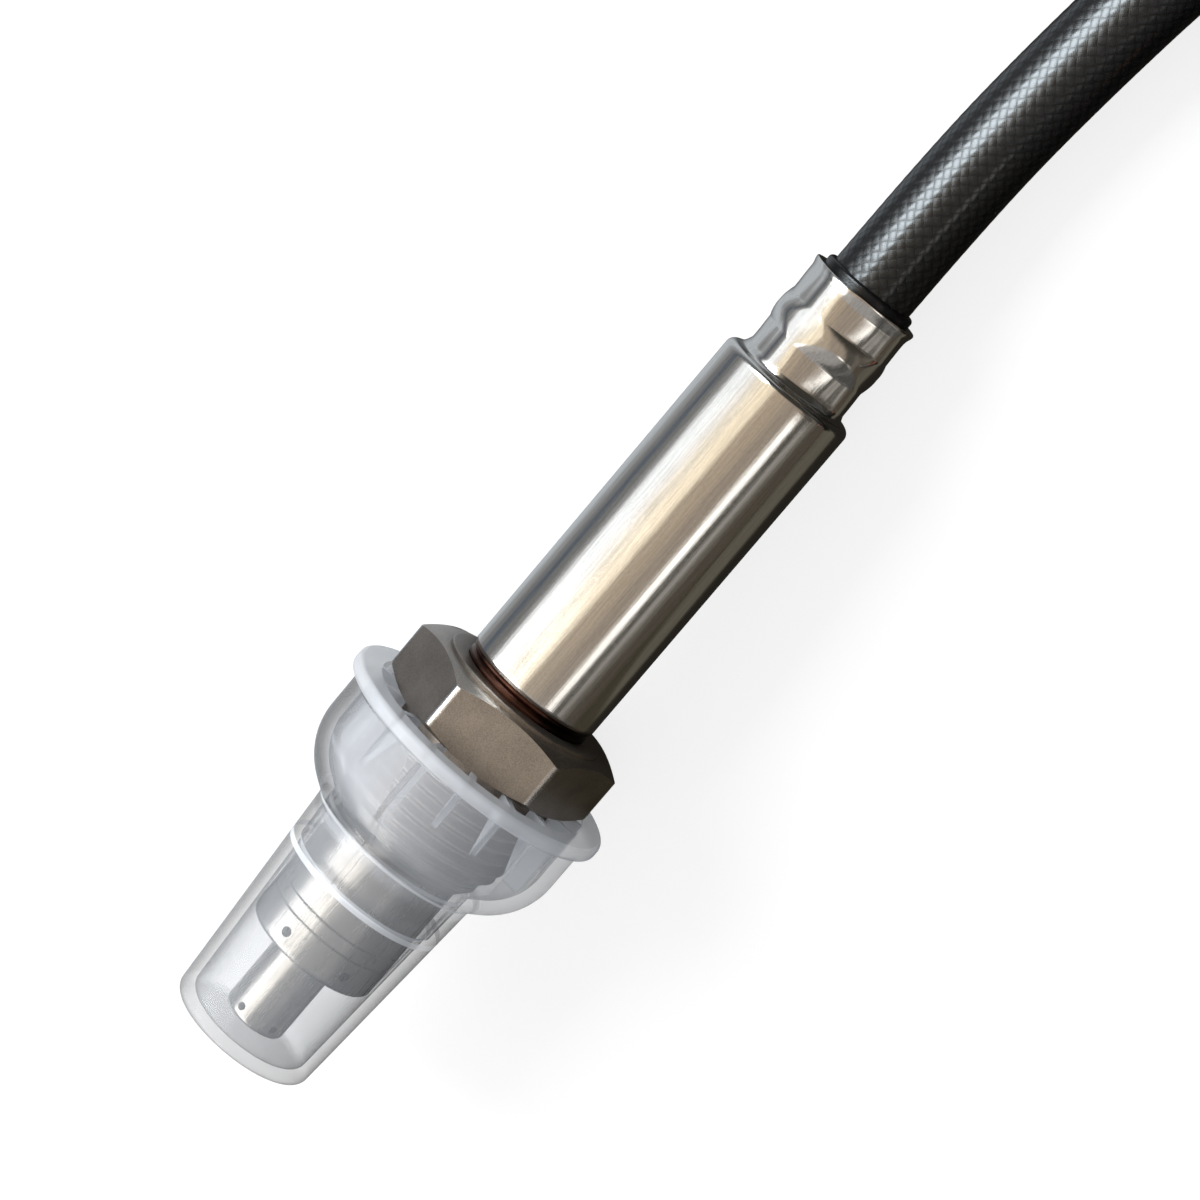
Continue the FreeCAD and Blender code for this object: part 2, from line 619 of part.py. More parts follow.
def cap_ribs():
    """Fins and ridges inside the cap: each fin has a toe that holds the thread."""
    middle = turned([(0, 0), (0, BELL_RADIUS - BELL_WALL / 2)] + bell_corners(BELL_WALL / 2, CAP_WALL / 2) + [
        (CAP_END_X, cone_radius(CAP_END_X) - CAP_WALL / 2), (CAP_END_X, 0),
    ])
    toe = THREAD_RADIUS + CAP_TOE_GAP
    step = THREAD_RADIUS + CAP_THREAD_GAP
    head = [
        (0, BELL_RADIUS), (0, toe), (-CAP_TOE_LENGTH, toe), (-CAP_TOE_LENGTH - CAP_TOE_SLOPE, step)
    ]
    root_x = bell_corners(BELL_WALL, CAP_WALL)[1][0]
    ridge_root = cone_radius(root_x) - CAP_WALL - CAP_RIDGE_HEIGHT
    short = flat_rib(head + [(-CAP_FIN_LENGTH, BELL_RADIUS - BELL_WALL), (-CAP_FIN_LENGTH, BELL_RADIUS)])
    long = flat_rib(head + [(NUT_END_X, step), (root_x, ridge_root), (root_x, BELL_RADIUS)])
    ridge = flat_rib([
        (root_x, cone_radius(root_x)), (root_x, ridge_root),
        (CAP_RIDGE_END_X, cone_radius(CAP_RIDGE_END_X) - CAP_WALL - CAP_STEP - CAP_RIDGE_HEIGHT / 2),
        (CAP_RIDGE_END_X, cone_radius(CAP_RIDGE_END_X)),
    ])
    short = short.common(middle)
    long = long.fuse(ridge).common(middle)
    ribs = []
    for i in range(CAP_FIN_COUNT):
        rib = long if i % CAP_LONG_FIN_EVERY == 0 else short
        ribs.append(about_axis(rib, CAP_FIN_TURN_DEG + i * 360.0 / CAP_FIN_COUNT))
    return ribs


def cap():
    """Moulded shipping cap: flange, bell over the thread, stepped cone and closed end."""
    outside = turned([
        (0, 0), (0, CAP_FLANGE_RADIUS, CAP_EDGE_ROUND),
        (-CAP_FLANGE_THICKNESS, CAP_FLANGE_RADIUS, CAP_EDGE_ROUND),
        (-CAP_FLANGE_THICKNESS, BELL_RADIUS, CAP_EDGE_ROUND),
    ] + bell_corners(0, 0) + [(CAP_END_X, cone_radius(CAP_END_X), CAP_END_ROUND), (CAP_END_X, 0)])
    inner_end = CAP_END_X + CAP_END_WALL
    hollow = turned([(1, 0), (1, BELL_RADIUS - BELL_WALL)] + bell_corners(BELL_WALL, CAP_WALL) + [
        (CAP_STEP_X, cone_radius(CAP_STEP_X) - CAP_WALL),
        (CAP_STEP_X, cone_radius(CAP_STEP_X) - CAP_WALL - CAP_STEP),
        (inner_end, cone_radius(CAP_END_X) - CAP_WALL - CAP_STEP / 2, CAP_END_ROUND), (inner_end, 0),
    ])
    return outside.cut(hollow).fuse(cap_ribs()).removeSplitter()


def tube_along(points, radius):
    """Round tube through straight runs joined by the largest tangent arcs, and its bend radii."""
    edges, radii = [], []
    last = points[0]
    for i in range(1, len(points) - 1):
        back = points[i - 1] - points[i]
        ahead = points[i + 1] - points[i]
        shorter = min(back.Length, ahead.Length)
        turn = math.pi - back.getAngle(ahead)
        bend = 0.45 * shorter / math.tan(turn / 2)
        back.normalize()
        ahead.normalize()
        start = points[i] + back * (0.45 * shorter)
        end = points[i] + ahead * (0.45 * shorter)
        bisector = (back + ahead).normalize()
        middle = points[i] + bisector * (bend / math.cos(turn / 2) - bend)
        edges.append(Part.LineSegment(last, start).toShape())
        edges.append(Part.Arc(start, middle, end).toShape())
        radii.append(bend)
        last = end
    edges.append(Part.LineSegment(last, points[-1]).toShape())
    path = Part.Wire(edges)
    ahead = (points[1] - points[0]).normalize()
    section = Part.Wire([Part.makeCircle(radius, points[0], ahead)])
    tube = path.makePipeShell([section], True, False)
    return tube, path.Length, radii


def lies(shape, lift):
    """Copy of a piece laid down as the probe rests: nose up, raised by lift."""
    copy = shape.copy()
    copy.rotate(Vector(0, 0, 0), Vector(0, 1, 0), REST_TILT_DEG)
    copy.translate(lift)
    return copy


def laid_point(x, lift):
    """Point of the probe's axis at x, laid down."""
    tilt = math.radians(REST_TILT_DEG)
    return Vector(x * math.cos(tilt), 0, -x * math.sin(tilt)) + lift


def cable_height():
    """Height of the lead's middle where it lies on the surface."""
    return CABLE_RADIUS + CABLE_FLOOR_GAP


def cable_points(exit_point):
    """Route of the lead from the grommet to its coil."""
    drop = exit_point.z - cable_height()
    first_run = Vector(drop / math.tan(math.radians(REST_TILT_DEG)), 0, -drop)
    spots = [exit_point, exit_point + first_run]
    for dx, dy in CABLE_ROUTE:
        spots.append(Vector(exit_point.x + dx, exit_point.y + dy, cable_height()))
    return spots


def coil_frame(points):
    """Centre of the coil and the angle at which the lead joins it, turning clockwise."""
    heading = (points[-1] - points[-2]).normalize()
    right = Vector(heading.y, -heading.x, 0)
    centre = points[-1] + right * COIL_RADIUS
    start = math.degrees(math.atan2(-right.y, -right.x))
    return centre, start


def arc_bar(centre, z_low, z_high, start_deg, sweep_deg):
    """Part of a ring with a rounded section, one lead wide, swept clockwise."""
    rounding = CABLE_RADIUS * 0.8
    low = COIL_RADIUS - CABLE_RADIUS
    high = COIL_RADIUS + CABLE_RADIUS
    wire = rounded_wire((
        (low, z_low, rounding), (high, z_low, rounding), (high, z_high, rounding), (low, z_high, rounding),
    ))
    face = Part.Face(wire)
    face.rotate(Vector(0, 0, 0), Vector(1, 0, 0), 90)
    face.rotate(Vector(0, 0, 0), Vector(0, 0, 1), start_deg)
    ring = face.revolve(Vector(0, 0, 0), Vector(0, 0, -1), sweep_deg)
    ring.translate(Vector(centre.x, centre.y, 0))
    return ring


def cable_coil(centre, start_deg):
    """Outer shape of the coil: one turn on the surface and a part turn on top of it."""
    floor = CABLE_FLOOR_GAP
    turn = 2 * CABLE_RADIUS
    lower = arc_bar(centre, floor, floor + turn, start_deg, 360)
    upper = arc_bar(centre, floor, floor + 2 * turn, start_deg, COIL_UPPER_TURN_DEG)
    rise = arc_bar(centre, floor, floor + 1.5 * turn, start_deg + COIL_RISE_DEG * 0.5, COIL_RISE_DEG * 0.5)
    return lower.fuse([upper, rise]).removeSplitter()


def coil_tie(centre, angle_deg):
    """Strap wrapped round both turns of the coil, with its folded-over end."""
    inner_half = CABLE_RADIUS + TIE_GAP
    low = CABLE_FLOOR_GAP - TIE_GAP
    high = CABLE_FLOOR_GAP + 4 * CABLE_RADIUS + TIE_GAP
    thick = TIE_THICKNESS
    outer = rounded_wire((
        (COIL_RADIUS - inner_half - thick, low - thick, TIE_ROUND + thick),
        (COIL_RADIUS + inner_half + thick, low - thick, TIE_ROUND + thick),
        (COIL_RADIUS + inner_half + thick, high + thick, TIE_ROUND + thick),
        (COIL_RADIUS - inner_half - thick, high + thick, TIE_ROUND + thick),
    ))
    inside = rounded_wire((
        (COIL_RADIUS - inner_half, low, TIE_ROUND), (COIL_RADIUS + inner_half, low, TIE_ROUND),
        (COIL_RADIUS + inner_half, high, TIE_ROUND), (COIL_RADIUS - inner_half, high, TIE_ROUND),
    ))
    band = Part.Face([outer, inside]).extrude(Vector(0, 0, TIE_WIDTH))
    side = COIL_RADIUS + inner_half + thick
    middle = (low + high) / 2
    flap_low = middle - TIE_FLAP_LENGTH / 2
    flap_high = middle + TIE_FLAP_LENGTH / 2
    flap = rounded_wire((
        (side, flap_low, TIE_FLAP_ROUND), (side + thick, flap_low, TIE_FLAP_ROUND),
        (side + thick, flap_high, TIE_FLAP_ROUND), (side, flap_high, TIE_FLAP_ROUND),
    ))
    end = Part.Face(flap).extrude(Vector(0, 0, TIE_WIDTH))
    strap = band.fuse(end).removeSplitter()
    strap.translate(Vector(0, 0, -TIE_WIDTH / 2))
    strap.rotate(Vector(0, 0, 0), Vector(1, 0, 0), 90)
    strap.rotate(Vector(0, 0, 0), Vector(0, 0, 1), angle_deg)
    strap.translate(Vector(centre.x, centre.y, 0))
    return strap


def rounded_box(x_from, x_to, width, height, rounding, z=0.0):
    """Box along X with its four long edges rounded."""
    box = block(x_from, x_to, width, height, z=z)
    long_edges = [e for e in box.Edges if e.BoundBox.XLength > (x_to - x_from) * 0.9]
    return box.makeFillet(rounding, long_edges)


def terminal_places():
    """Crosswise places of the terminals in the connector's face."""
    return [
        ((i - (TERMINALS_PER_ROW - 1) / 2) * TERMINAL_PITCH, (j - (TERMINAL_ROWS - 1) / 2) * TERMINAL_PITCH)
        for j in range(TERMINAL_ROWS)
        for i in range(TERMINALS_PER_ROW)
    ]


def connector():
    """Pieces of the lead's connector along X from the boot's rear end."""
    body_x = BOOT_LENGTH
    nose_x = body_x + CONNECTOR_LENGTH
    end_x = nose_x + NOSE_LENGTH
    body = rounded_box(body_x, nose_x, CONNECTOR_WIDTH, CONNECTOR_HEIGHT, CONNECTOR_ROUND)
    nose = rounded_box(
        nose_x - 1, end_x, CONNECTOR_WIDTH - 2 * NOSE_INSET, CONNECTOR_HEIGHT - 2 * NOSE_INSET, NOSE_ROUND
    )
    rail_height = LATCH_GAP + LATCH_THICKNESS
    rails = [
        block(
            body_x + 2 * RAIL_INSET, nose_x - RAIL_INSET, RAIL_WIDTH, rail_height + 1,
            y=side * (LATCH_WIDTH / 2 + RAIL_GAP + RAIL_WIDTH / 2),
            z=CONNECTOR_HEIGHT / 2 + rail_height / 2 - 1 / 2,
        )
        for side in (1, -1)
    ]
    housing = body.fuse([nose] + rails)
    housing = housing.cut([
        rod(TERMINAL_RADIUS + FIT_GAP, end_x - TERMINAL_DEPTH, end_x + 1, y, z) for y, z in terminal_places()
    ]).removeSplitter()
    terminals = Part.makeCompound([
        rod(TERMINAL_RADIUS, end_x - TERMINAL_DEPTH, end_x - TERMINAL_RECESS, y, z).cut(
            rod(TERMINAL_RADIUS - TERMINAL_WALL, end_x - TERMINAL_DEPTH + 1, end_x, y, z)
        )
        for y, z in terminal_places()
    ])
    latch_z = CONNECTOR_HEIGHT / 2 + LATCH_GAP + LATCH_THICKNESS / 2
    latch_end_x = nose_x - RAIL_INSET
    latch = block(latch_end_x - LATCH_LENGTH, latch_end_x, LATCH_WIDTH, LATCH_THICKNESS, z=latch_z)
    foot_z = CONNECTOR_HEIGHT / 2 + LATCH_GAP / 2
    foot = block(latch_end_x - LATCH_FOOT_LENGTH, latch_end_x, LATCH_WIDTH, LATCH_GAP, z=foot_z)
    latch = latch.fuse(foot).removeSplitter()
    cross_edges = [e for e in latch.Edges if e.BoundBox.YLength > LATCH_WIDTH * 0.9]
    pad_edges = [e for e in cross_edges if e.BoundBox.ZMin > latch_z]
    latch = latch.makeFillet(LATCH_ROUND, pad_edges)
    seal = rounded_box(
        nose_x, nose_x + SEAL_WIDTH, CONNECTOR_WIDTH - 2 * NOSE_INSET + 2 * SEAL_PROUD,
        CONNECTOR_HEIGHT - 2 * NOSE_INSET + 2 * SEAL_PROUD, NOSE_ROUND + SEAL_PROUD,
    ).cut(rounded_box(
        nose_x - 1, nose_x + SEAL_WIDTH + 1, CONNECTOR_WIDTH - 2 * NOSE_INSET + 2 * FIT_GAP,
        CONNECTOR_HEIGHT - 2 * NOSE_INSET + 2 * FIT_GAP, NOSE_ROUND,
    ))
    outline = [(0, 0), (0, BOOT_SMALL_RADIUS, BOOT_ROUND)]
    step = BOOT_LENGTH / (BOOT_RIB_COUNT + 1)
    growth = (BOOT_LARGE_RADIUS - BOOT_SMALL_RADIUS) / (BOOT_RIB_COUNT + 1)
    for i in range(1, BOOT_RIB_COUNT + 1):
        radius = BOOT_SMALL_RADIUS + growth * i
        groove_x = i * step + BOOT_GROOVE_WIDTH / 2
        outline += [
            (i * step, radius, BOOT_ROUND), (groove_x, radius - BOOT_GROOVE_DEPTH, BOOT_ROUND),
            (groove_x + BOOT_GROOVE_WIDTH, radius - BOOT_GROOVE_DEPTH, BOOT_ROUND),
        ]
    outline += [
        (BOOT_LENGTH - BOOT_END_WIDTH, BOOT_LARGE_RADIUS, BOOT_ROUND), (BOOT_LENGTH, BOOT_LARGE_RADIUS),
        (BOOT_LENGTH, 0),
    ]
    return {
        "connector_housing": housing,
        "connector_terminals": terminals,
        "connector_latch": latch,
        "connector_seal": seal,
        "connector_boot": turned(outline),
    }


def probe_pieces():
    """Every rigid piece of the probe in its own frame."""
    places = contact_places()
    pieces = {
        "protective_cap": cap(),
        "union_nut": union_nut(),
        "housing": shell(),
        "outer_protection_tube": outer_tube(),
        "inner_protection_tube": inner_tube(),
        "sensor_element": sensor_element(),
        "sleeve": sleeve(),
        "contact_holder_upper": contact_holder(1),
        "contact_holder_lower": contact_holder(-1),
        "contact_springs": Part.makeCompound([contact_blade(y, side) for y, side in places]),
        "holder_clip": holder_clip(),
        "wire_ferrules": ferrules(),
        "lead_wires": lead_wires(),
        "grommet": grommet(),
    }
    pieces.update(packing())
    return pieces


def cord_pieces(exit_point):
    """The lead, its coil and tie, and the connector on its end, where they lie."""
    points = cable_points(exit_point)
    tube, length, radii = tube_along(points, CABLE_RADIUS)
    section = math.pi * CABLE_RADIUS ** 2
    print("lead bend radii", [round(r, 1) for r in radii])
    print("lead volume over section times length", round(tube.Volume / (section * length), 4))
    centre, start = coil_frame(points)
    coil_length = math.radians(360 + COIL_UPPER_TURN_DEG) * COIL_RADIUS
    print("lead length", round(length + coil_length, 1), "coil centre", centre, "joins at", round(start, 2))
    pieces = {
        "cable": tube,
        "cable_coil": cable_coil(centre, start),
        "coil_tie": coil_tie(centre, start - TIE_AT_DEG),
    }
    end = math.radians(start - COIL_UPPER_TURN_DEG)
    top_of_first_turn = CABLE_FLOOR_GAP + 2 * CABLE_RADIUS
    spot = centre + Vector(math.cos(end), math.sin(end), 0) * COIL_RADIUS
    spot.z = top_of_first_turn + CONNECTOR_LIFT + CONNECTOR_HEIGHT / 2
    turn = Rotation(Vector(0, 0, 1), start - COIL_UPPER_TURN_DEG - 90)
    print("connector at", spot, "heading", round(start - COIL_UPPER_TURN_DEG - 90, 2))
    for name, shape in connector().items():
        placed = shape.copy()
        placed.Placement = Placement(spot, turn).multiply(placed.Placement)
        pieces[name] = placed
    return pieces


def main():
    os.makedirs("parts", exist_ok=True)
    probe = probe_pieces()
    upright = Part.makeCompound([lies(shape, Vector(0, 0, 0)) for shape in probe.values()])
    box = upright.optimalBoundingBox(False)
    lift = Vector(-(box.XMin + box.XMax) / 2, -(box.YMin + box.YMax) / 2, -box.ZMin)
    exit_point = laid_point(CABLE_START_X, lift)
    print("x = 0 of the probe's axis lies at", lift)
    print("lead leaves at", exit_point)
    laid = {name: lies(shape, lift) for name, shape in probe.items()}
    laid.update(cord_pieces(exit_point))
    for name, shape in laid.items():
        shape.exportStep("parts/" + name + ".step")
    print(len(laid), "pieces")


main()
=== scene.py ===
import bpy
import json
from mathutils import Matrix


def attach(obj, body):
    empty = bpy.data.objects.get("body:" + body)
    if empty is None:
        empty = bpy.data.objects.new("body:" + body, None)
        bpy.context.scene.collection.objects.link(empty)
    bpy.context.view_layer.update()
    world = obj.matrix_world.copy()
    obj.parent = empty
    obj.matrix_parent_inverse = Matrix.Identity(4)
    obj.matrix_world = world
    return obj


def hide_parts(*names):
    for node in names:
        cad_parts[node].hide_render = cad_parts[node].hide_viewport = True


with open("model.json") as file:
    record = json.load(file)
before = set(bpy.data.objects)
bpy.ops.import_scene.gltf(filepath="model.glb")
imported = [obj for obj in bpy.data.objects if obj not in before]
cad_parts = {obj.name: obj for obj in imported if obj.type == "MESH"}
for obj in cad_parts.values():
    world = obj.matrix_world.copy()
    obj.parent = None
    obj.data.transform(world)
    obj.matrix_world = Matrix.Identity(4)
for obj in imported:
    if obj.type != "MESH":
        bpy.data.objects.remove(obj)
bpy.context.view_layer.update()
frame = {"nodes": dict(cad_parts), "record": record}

import json
import math

import bmesh
import bpy
import numpy as np
from mathutils import Matrix, Vector

bl_info = {
    "name": "Nitrogen oxide sensor",
    "version": (1, 0, 0),
    "blender": (4, 5, 0),
    "location": "View3D > Sidebar > Gas probe",
    "description": "Dresses the gas probe: threaded nut, crimped sleeve, clear cap and braided lead",
    "category": "Object",
}

# The probe's own axes. x = 0 is the underside of the nut's hexagon, ALONG points to the lead.
MOUNTS = {mount["name"]: mount for mount in frame["record"]["mounts"]}
THREAD = MOUNTS["nut_thread"]
THREAD_MIDDLE_X = -0.00565
ALONG = -Vector(THREAD["axis"]).normalized()
ACROSS = Vector((0, 1, 0))
ABOVE = ALONG.cross(ACROSS).normalized()
ORIGIN = Vector(THREAD["pos_m"]) - ALONG * THREAD_MIDDLE_X
TILT = math.asin(-ALONG.z)
SLOT_OF = {part["node"]: part["material_slot"] for part in frame["record"]["subparts"]}
MM = 0.001
GROMMET_END_X = 0.06072
EXIT = ORIGIN + ALONG * GROMMET_END_X
LYING_HEIGHT = 0.00582
COIL_CENTRE = (0.1194607, -0.064031, LYING_HEIGHT)
COIL_START_DEG = 62.7
BOOT_START = (0.0965286, -0.1084621, 0.01897)
BOOT_LIFT = 0.00391


# ---- shader wiring ----


class Wire:
    """One output of a node, which can be written into sums and products."""

    def __init__(self, finish, socket):
        self.finish = finish
        self.socket = socket

    def maths(self, operation, *others):
        return self.finish.node("ShaderNodeMath", {"operation": operation}, dict(enumerate((self, *others))))

    def __add__(self, other):
        return self.maths("ADD", other)

    __radd__ = __add__

    def __mul__(self, other):
        return self.maths("MULTIPLY", other)

    __rmul__ = __mul__

    def __sub__(self, other):
        return self.maths("SUBTRACT", other)

    def __rsub__(self, other):
        return (self * -1) + other

    def __truediv__(self, other):
        return self.maths("DIVIDE", other)

    def __pow__(self, other):
        return self.maths("POWER", other)

    def between(self, low, high):
        """0 below low and 1 above high, smooth between them."""
        return self.finish.node(
            "ShaderNodeMapRange", {"interpolation_type": "SMOOTHSTEP"},
            {"Value": self, "From Min": low, "From Max": high},
        )


class Finish:
    """A material, or the world, whose nodes are made from here."""

    def __init__(self, name, owner=None):
        self.owner = owner or bpy.data.materials.new(name)
        self.owner.use_nodes = True
        self.tree = self.owner.node_tree
        self.tree.nodes.clear()

    def node(self, kind, settings=None, sockets=None, output=0):
        """Any node: its settings, what goes into its sockets, and the output that is wanted."""
        made = self.tree.nodes.new(kind)
        for name, value in (settings or {}).items():
            setattr(made, name, value)
        for name, value in (sockets or {}).items():
            if isinstance(value, Wire):
                self.tree.links.new(value.socket, made.inputs[name])
            else:
                made.inputs[name].default_value = value
        return Wire(self, made.outputs[output])

    def blend(self, factor, low, high):
        """Colour low where factor is 0 and high where it is 1."""
        colours = {6: low, 7: high}
        for index, colour in colours.items():
            if not isinstance(colour, Wire):
                colours[index] = (*colour, 1.0)
        return self.node("ShaderNodeMix", {"data_type": "RGBA"}, {0: factor, **colours}, 2)

    def places(self):
        """Places in the probe's own axes: x along it."""
        seen = self.node("ShaderNodeTexCoord", output=3)
        return self.node(
            "ShaderNodeMapping", {"vector_type": "TEXTURE"},
            {"Vector": seen, "Location": tuple(ORIGIN), "Rotation": (0.0, TILT, 0.0)},
        )

    def stretched(self, places, scale):
        return self.node("ShaderNodeVectorMath", {"operation": "MULTIPLY"}, {0: places, 1: scale})

    def noise(self, places, scale, detail=3.0, roughness=0.5):
        return self.node(
            "ShaderNodeTexNoise", {},
            {"Vector": places, "Scale": scale, "Detail": detail, "Roughness": roughness},
        )

    def part_of(self, places, axis):
        return self.node("ShaderNodeSeparateXYZ", {}, {0: places}, axis)

    def bump(self, height, depth, strength=1.0):
        return self.node(
            "ShaderNodeBump", {}, {"Height": height, "Distance": depth, "Strength": strength}
        )

    def light_path(self, *names):
        """Outputs of the Light Path node, 1 for rays of the kind that each is named after."""
        rays = self.node("ShaderNodeLightPath").socket.node
        return [Wire(self, rays.outputs[name]) for name in names]

    def surface(self, sockets):
        """Principled shader on the output."""
        shader = self.node("ShaderNodeBsdfPrincipled", {}, sockets)
        self.node_out("ShaderNodeOutputMaterial", shader)
        return self.owner

    def node_out(self, kind, shader):
        made = self.tree.nodes.new(kind)
        self.tree.links.new(shader.socket, made.inputs["Surface"])


# ---- sizes and colours ----


class NutSizes(bpy.types.PropertyGroup):
    across_flats: bpy.props.FloatProperty(
        name="Across flats", description="Spanner size of the hexagon",
        default=0.022, unit="LENGTH", precision=5)
    height: bpy.props.FloatProperty(
        name="Hexagon height", description="Height of the hexagon",
        default=0.0066, unit="LENGTH", precision=5)
    turn: bpy.props.FloatProperty(
        name="Hexagon turn", description="How far the near flat is turned from straight up",
        default=math.radians(3.5), subtype="ANGLE")
    corner_round: bpy.props.FloatProperty(
        name="Corner rounding", description="Rounding of the hexagon's upright edges",
        default=0.0006, unit="LENGTH", precision=5)
    thread_radius: bpy.props.FloatProperty(
        name="Thread radius", description="Radius over the thread's crests",
        default=THREAD["dims"]["r_mm"] * MM, unit="LENGTH", precision=5)
    pitch: bpy.props.FloatProperty(
        name="Thread pitch", description="Distance from one crest to the next",
        default=0.0015, unit="LENGTH", precision=5)
    thread_depth: bpy.props.FloatProperty(
        name="Thread depth", description="Depth of the thread's groove",
        default=0.00092, unit="LENGTH", precision=5)


class SleeveSizes(bpy.types.PropertyGroup):
    radius: bpy.props.FloatProperty(
        name="Sleeve radius", description="Outer radius of the drawn tube",
        default=0.0076, unit="LENGTH", precision=5)
    neck_radius: bpy.props.FloatProperty(
        name="Neck radius", description="Outer radius of the crimped neck",
        default=0.00625, unit="LENGTH", precision=5)
    shoulder_round: bpy.props.FloatProperty(
        name="Shoulder rounding", description="Rounding of the shoulder",
        default=0.0009, unit="LENGTH", precision=5)
    crimp_softness: bpy.props.FloatProperty(
        name="Crimp softness", description="How softly the pressed pockets run into the neck",
        default=0.0008, unit="LENGTH", precision=5)
    jaws: bpy.props.IntProperty(name="Jaws", description="Jaws of the crimping tool", default=4, min=2, max=12)
    jaw_turn: bpy.props.FloatProperty(
        name="Jaw turn", description="Where the first jaw pressed",
        default=math.radians(20.0), subtype="ANGLE")


class LeadSizes(bpy.types.PropertyGroup):
    diameter: bpy.props.FloatProperty(
        name="Lead diameter", description="Diameter over the braid",
        default=0.00924, unit="LENGTH", precision=5)
    length: bpy.props.FloatProperty(
        name="Lead length", description="Length of lead from the grommet to its connector",
        default=0.5669, unit="LENGTH", precision=4)
    coil_radius: bpy.props.FloatProperty(
        name="Coil radius", description="Radius of the coil at the lead's middle",
        default=0.050, unit="LENGTH", precision=5)
    braid_step: bpy.props.FloatProperty(
        name="Braid step", description="Length of lead over which the braid repeats",
        default=0.00135, unit="LENGTH", precision=5)
    braid_count: bpy.props.IntProperty(
        name="Braid strands", description="Strands that run round the lead each way", default=24, min=4, max=48)
    braid_relief: bpy.props.FloatProperty(
        name="Braid relief", description="How far a strand stands over the ones it crosses",
        default=0.00002, unit="LENGTH", precision=6)


class FinishColours(bpy.types.PropertyGroup):
    sleeve: bpy.props.FloatVectorProperty(
        name="Sleeve", description="Polished steel of the sleeve",
        default=(0.82, 0.80, 0.77), subtype="COLOR", size=3)
    nut: bpy.props.FloatVectorProperty(
        name="Nut", description="Dull steel of the nut",
        default=(0.415, 0.37, 0.33), subtype="COLOR", size=3)
    tint: bpy.props.FloatVectorProperty(
        name="Heat tint", description="Brown tint beside the weld",
        default=(0.13, 0.062, 0.044), subtype="COLOR", size=3)
    cap: bpy.props.FloatVectorProperty(
        name="Cap", description="Milky plastic of the cap",
        default=(0.82, 0.86, 0.92), subtype="COLOR", size=3)
    braid: bpy.props.FloatVectorProperty(
        name="Braid", description="Black braid of the lead",
        default=(0.0024, 0.0027, 0.0032), subtype="COLOR", size=3)


class StageSizes(bpy.types.PropertyGroup):
    view_tilt: bpy.props.FloatProperty(
        name="View tilt", description="How far the camera leans towards the lead",
        default=math.radians(11.0), subtype="ANGLE")
    view_turn: bpy.props.FloatProperty(
        name="View turn", description="Slope of the probe in the picture",
        default=math.radians(49.7), subtype="ANGLE")
    distance: bpy.props.FloatProperty(
        name="Camera distance", description="Distance from the camera to the probe",
        default=0.380, unit="LENGTH")
    lens: bpy.props.FloatProperty(
        name="Lens", description="Focal length in millimetres on a 36 mm sensor", default=113.9)
    aim_x: bpy.props.FloatProperty(
        name="Aim along", description="Place along the probe in the middle of the picture",
        default=0.0193, unit="LENGTH", precision=5)
    aim_y: bpy.props.FloatProperty(
        name="Aim across", description="Place across the probe in the middle of the picture",
        default=0.00055, unit="LENGTH", precision=5)


# ---- mesh helpers ----


def on_probe(x, radius, turn):
    """Points at x along the probe, radius from its axis and turned from above towards its right side."""
    x, radius, turn = np.broadcast_arrays(x, radius, turn)
    side = -radius * np.sin(turn)
    up = radius * np.cos(turn)
    return (
        np.array(ORIGIN) + x[..., None] * np.array(ALONG)
        + side[..., None] * np.array(ACROSS) + up[..., None] * np.array(ABOVE)
    )


def grid_faces(rows, columns, rows_close, columns_close):
    """Quads of a grid of points, as index rows."""
    r = np.arange(rows if rows_close else rows - 1)
    c = np.arange(columns if columns_close else columns - 1)
    r, c = (a.ravel() for a in np.meshgrid(r, c, indexing="ij"))
    r2, c2 = (r + 1) % rows, (c + 1) % columns
    return np.stack([r * columns + c, r * columns + c2, r2 * columns + c2, r2 * columns + c], 1)


def made_piece(name, points, faces, material, body, sharp_deg=35.0):
    """Mesh piece that rides on a body, smooth but for its sharp edges."""
    mesh = bpy.data.meshes.new(name)
    mesh.from_pydata(points.reshape(-1, 3).tolist(), [], faces.tolist())
    mesh.validate()
    mesh.polygons.foreach_set("use_smooth", [True] * len(mesh.polygons))
    mesh.set_sharp_from_angle(angle=math.radians(sharp_deg))
    mesh.materials.append(material)
    piece = bpy.data.objects.new(name, mesh)
    bpy.context.scene.collection.objects.link(piece)
    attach(piece, body)
    return piece


def welded(piece, distance=2e-7):
    """Joins points that fall together, so no face is left without area."""
    shape = bmesh.new()
    shape.from_mesh(piece.data)
    bmesh.ops.remove_doubles(shape, verts=shape.verts, dist=distance)
    bmesh.ops.dissolve_degenerate(shape, edges=shape.edges, dist=distance)
    bmesh.ops.recalc_face_normals(shape, faces=shape.faces)
    shape.to_mesh(piece.data)
    shape.free()
    piece.data.polygons.foreach_set("use_smooth", [True] * len(piece.data.polygons))
    piece.data.set_sharp_from_angle(angle=math.radians(35.0))


def dress(node, material):
    """Gives a CAD node its finish."""
    mesh = frame["nodes"][node].data
    mesh.materials.clear()
    mesh.materials.append(material)


def soft_least(a, b, width):
    """The lesser of two values, with the edge between them rounded over a width."""
    share = np.clip(0.5 + 0.5 * (b - a) / width, 0, 1)
    return b * (1 - share) + a * share - width * share * (1 - share)


# ---- finishes ----


